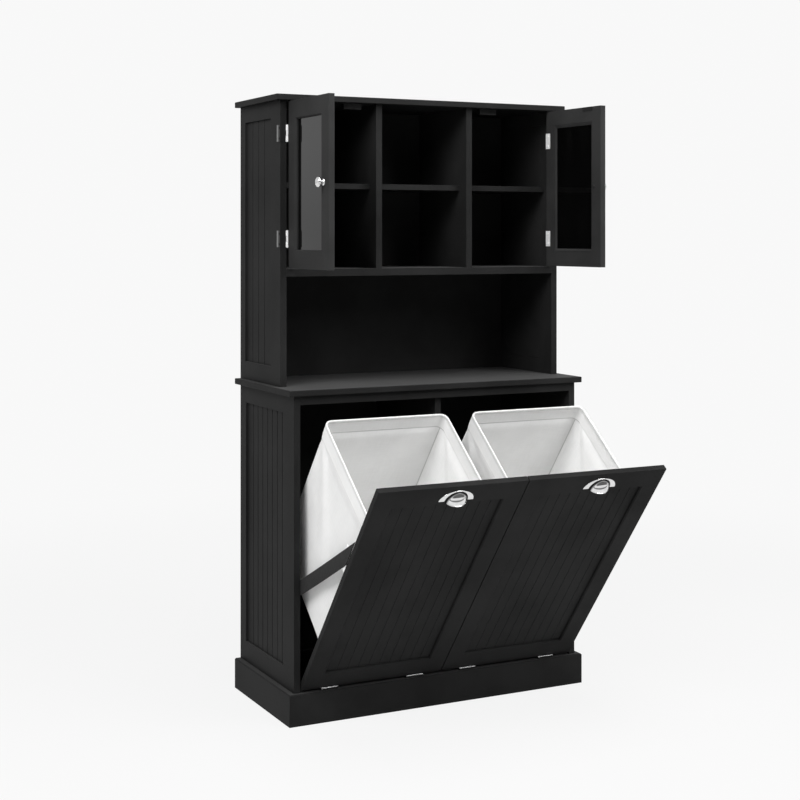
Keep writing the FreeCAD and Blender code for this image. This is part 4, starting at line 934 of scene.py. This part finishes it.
firstPull = joined([makeCup(), makePlate()], "cupPull")
smooth(firstPull, 35)
for name, side in sides.items():
    spot = Matrix.Translation((side * pull["centre"] + pull["shift"], pull["face"], pull["base"]))
    piece = copied(firstPull, f"cupPull{name.title()}", toFront @ spot)
    settled(piece, f"tilt_front_{name}", "polished_chrome", f"cup_pull_{name}")
bpy.data.objects.remove(firstPull)
print("pulls formed")

# screws: a low round head with a cross cut into it, each turned a little further than the last
screw = {"profile": [(3.3, 0.0), (3.3, 0.25), (3.05, 0.62), (2.3, 0.92), (1.2, 1.05), (0.25, 1.1)],
         "slot": (3.4 * mm, 0.75 * mm), "deep": 0.55 * mm, "top": 1.1 * mm, "spin": 0.7}


def makeScrew():
    head = turned("screwHead", screw["profile"], 24)
    for size in (screw["slot"], screw["slot"][::-1]):
        deselect()
        bpy.ops.mesh.primitive_cube_add(size=1, scale=(*size, 2 * screw["deep"]),
                                        location=(0, 0, screw["top"]))
        cutter = started("slotCutter")
        modify(head, "BOOLEAN", operation="DIFFERENCE", object=cutter, solver="EXACT")
        bpy.data.objects.remove(cutter)
    smooth(head, 35)
    return head


# where the screws sit: on the hinge leaves, and behind the fronts (behind and up, in front-local metres)
hinges = {
    "rows": (1265.5 * mm, 1546.5 * mm), "reach": 14 * mm, "sideLeaf": (434.2 * mm, -90 * mm),
    "doorLeaf": (10.6 * mm, -17.2 * mm), "tiltX": (81.5 * mm, 333 * mm), "tiltReach": 14.5 * mm,
    "baseLeaf": (-173.5 * mm, 84.2 * mm), "frontLeaf": (19.4 * mm, 12.5 * mm),
}
frontScrews = {
    "tab": ((21.1 * mm, 690 * mm), (21.1 * mm, 704 * mm)), "pullReach": 32 * mm,
    "pull": (18.2 * mm, 708 * mm), "bracketX": 402 * mm,
    "bracket": ((20.2 * mm, 494 * mm), (20.2 * mm, 538 * mm)),
}
screwSpots = {"carcass": [], "glass_door_left": [], "glass_door_right": [], "tilt_front_left": [],
              "tilt_front_right": []}
coatedSpots = []  # screws sprayed with the wrapped leaves
for name, side in sides.items():
    doorSpot = doorMatrix(name)
    doorBack = doorSpot.to_3x3() @ Vector((0, -1, 0))
    sideX, sideY = hinges["sideLeaf"]
    for row in hinges["rows"]:
        for step in (-hinges["reach"], hinges["reach"]):
            coatedSpots.append(((side * sideX, sideY, row + step), (side, 0, 0)))
            behind = doorSpot @ Vector((*hinges["doorLeaf"], row + step))
            screwSpots[f"glass_door_{name}"].append((behind, doorBack))
    onFront = []
    for middle in hinges["tiltX"]:
        for step in (-hinges["tiltReach"], hinges["tiltReach"]):
            across = side * middle + step
            screwSpots["carcass"].append(((across, *hinges["baseLeaf"]), (0, 0, 1)))
            onFront.append((across, *hinges["frontLeaf"]))
    for near in wireFrame["tabs"]:
        onFront += [(side * (wireFrame["near"] + near), *spot) for spot in frontScrews["tab"]]
    onFront += [(side * frontScrews["bracketX"], *spot) for spot in frontScrews["bracket"]]
    for step in (-frontScrews["pullReach"], frontScrews["pullReach"]):
        onFront.append((side * pull["centre"] + pull["shift"] + step, *frontScrews["pull"]))
    screwSpots[f"tilt_front_{name}"] += [(toFront @ Vector(spot), frontNormal) for spot in onFront]


def facing(place, normal, spin):
    turn = Vector(normal).to_track_quat("Z", "Y").to_matrix().to_4x4()
    return Matrix.Translation(place) @ turn @ Matrix.Rotation(spin, 4, "Z")


def drive(name, body, slot, spots):
    heads = []
    for number, (place, normal) in enumerate(spots):
        heads.append(copied(firstScrew, "screw", facing(place, normal, screw["spin"] * number)))
    settled(joined(heads, name), body, slot)


firstScrew = makeScrew()
for body, spots in screwSpots.items():
    drive("screws" + "".join(word.title() for word in body.split("_")), body, "hinge_steel", spots)
drive("screwsWrappedLeaves", "carcass", "black_paint", coatedSpots)
bpy.data.objects.remove(firstScrew)
print("screws driven")

# stage: pale floor that fades into the backdrop, even light from all round and three soft boxes
stage = {
    "backdrop": 0.941, "around": 0.22, "front": 0.14, "behind": 0.75, "floorShare": 0.92, "floorTone": 0.74,
    "size": 60, "fade": (1.2, 3.5), "edge": (1.22, 1.36), "beyond": (1.6, 2.1),
    "darkHeading": (-0.45, 0.15), "darkRise": (0.28, 0.55), "horizon": (0.0, 0.07), "horizonShare": 0.82,
}


def seenDirectly(finish):
    path = finish.node("ShaderNodeLightPath", out="Is Camera Ray")
    return path.most(path.output("Is Glossy Ray")).most(path.output("Is Transmission Ray"))


def inMirrors(finish):
    return finish.node("ShaderNodeLightPath", out="Is Glossy Ray")


def floorFinish():
    finish = Finish("paleFloor")
    spot = finish.place()
    far = finish.node("ShaderNodeVectorMath", {"operation": "LENGTH"}, {0: spot}, out="Value")
    share = stage["floorShare"] + far.step(*stage["fade"]) * (1 - stage["floorShare"])
    lit = finish.node("ShaderNodeBsdfDiffuse", None, {"Color": grey(stage["floorTone"])})
    # mirrors alone find a dark strip across the floor in front
    ahead = 0 - finish.parts(spot)[1]
    past = ahead.step(*stage["edge"]) * ahead.fall(*stage["beyond"]) * inMirrors(finish)
    strength = stage["backdrop"] + past * (stage["front"] - stage["backdrop"])
    plain = finish.node("ShaderNodeEmission", None, {"Color": grey(1.0), "Strength": strength})
    mixed = finish.node("ShaderNodeMixShader", None, {0: share * seenDirectly(finish), 1: lit, 2: plain})
    finish.node("ShaderNodeOutputMaterial", None, {"Surface": mixed})
    return finish.owner


def roomFinish():
    room = Finish("paleRoom", "worlds")
    # mirrors and gloss find the room darker on the camera's side, up to its ceiling
    heading, rise = room.parts(room.node("ShaderNodeTexCoord", out="Generated"))[1:]
    darkSide = heading.fall(*stage["darkHeading"]) * rise.fall(*stage["darkRise"])
    lowDown = rise.step(*stage["horizon"], stage["horizonShare"], 1.0)
    mirrored = (stage["behind"] + darkSide * (stage["front"] - stage["behind"])) * lowDown
    direct = stage["backdrop"] + inMirrors(room) * (mirrored - stage["backdrop"])
    level = stage["around"] + seenDirectly(room) * (direct - stage["around"])
    light = room.node("ShaderNodeBackground", None, {"Color": grey(1.0), "Strength": level})
    room.node("ShaderNodeOutputWorld", None, {"Surface": light})
    return room.owner


deselect()
bpy.ops.mesh.primitive_plane_add(size=stage["size"], location=(0, 0, 0))
floor = started("paleFloor")
floor.data.materials.append(floorFinish())
bpy.context.scene.world = roomFinish()

softBoxes = {
    "key": {"place": (-3.0, -2.1, 3.8), "aim": (0, 0, 0.8), "size": 2.2, "power": 165},
    "fill": {"place": (1.8, -3.2, 3.4), "aim": (0, 0, 1.2), "size": 2.0, "power": 112},
    "top": {"place": (0.1, -1.0, 3.9), "aim": (0, -0.4, 0.6), "size": 2.0, "power": 90},
}
for name, box in softBoxes.items():
    place = Vector(box["place"])
    bpy.ops.object.light_add(type="AREA", location=place)
    lamp = bpy.context.object
    lamp.name = f"{name}Box"
    lamp.rotation_euler = (place - Vector(box["aim"])).to_track_quat("Z", "Y").to_euler()
    lamp.data.size = box["size"]
    lamp.data.energy = box["power"]
print("stage lit")
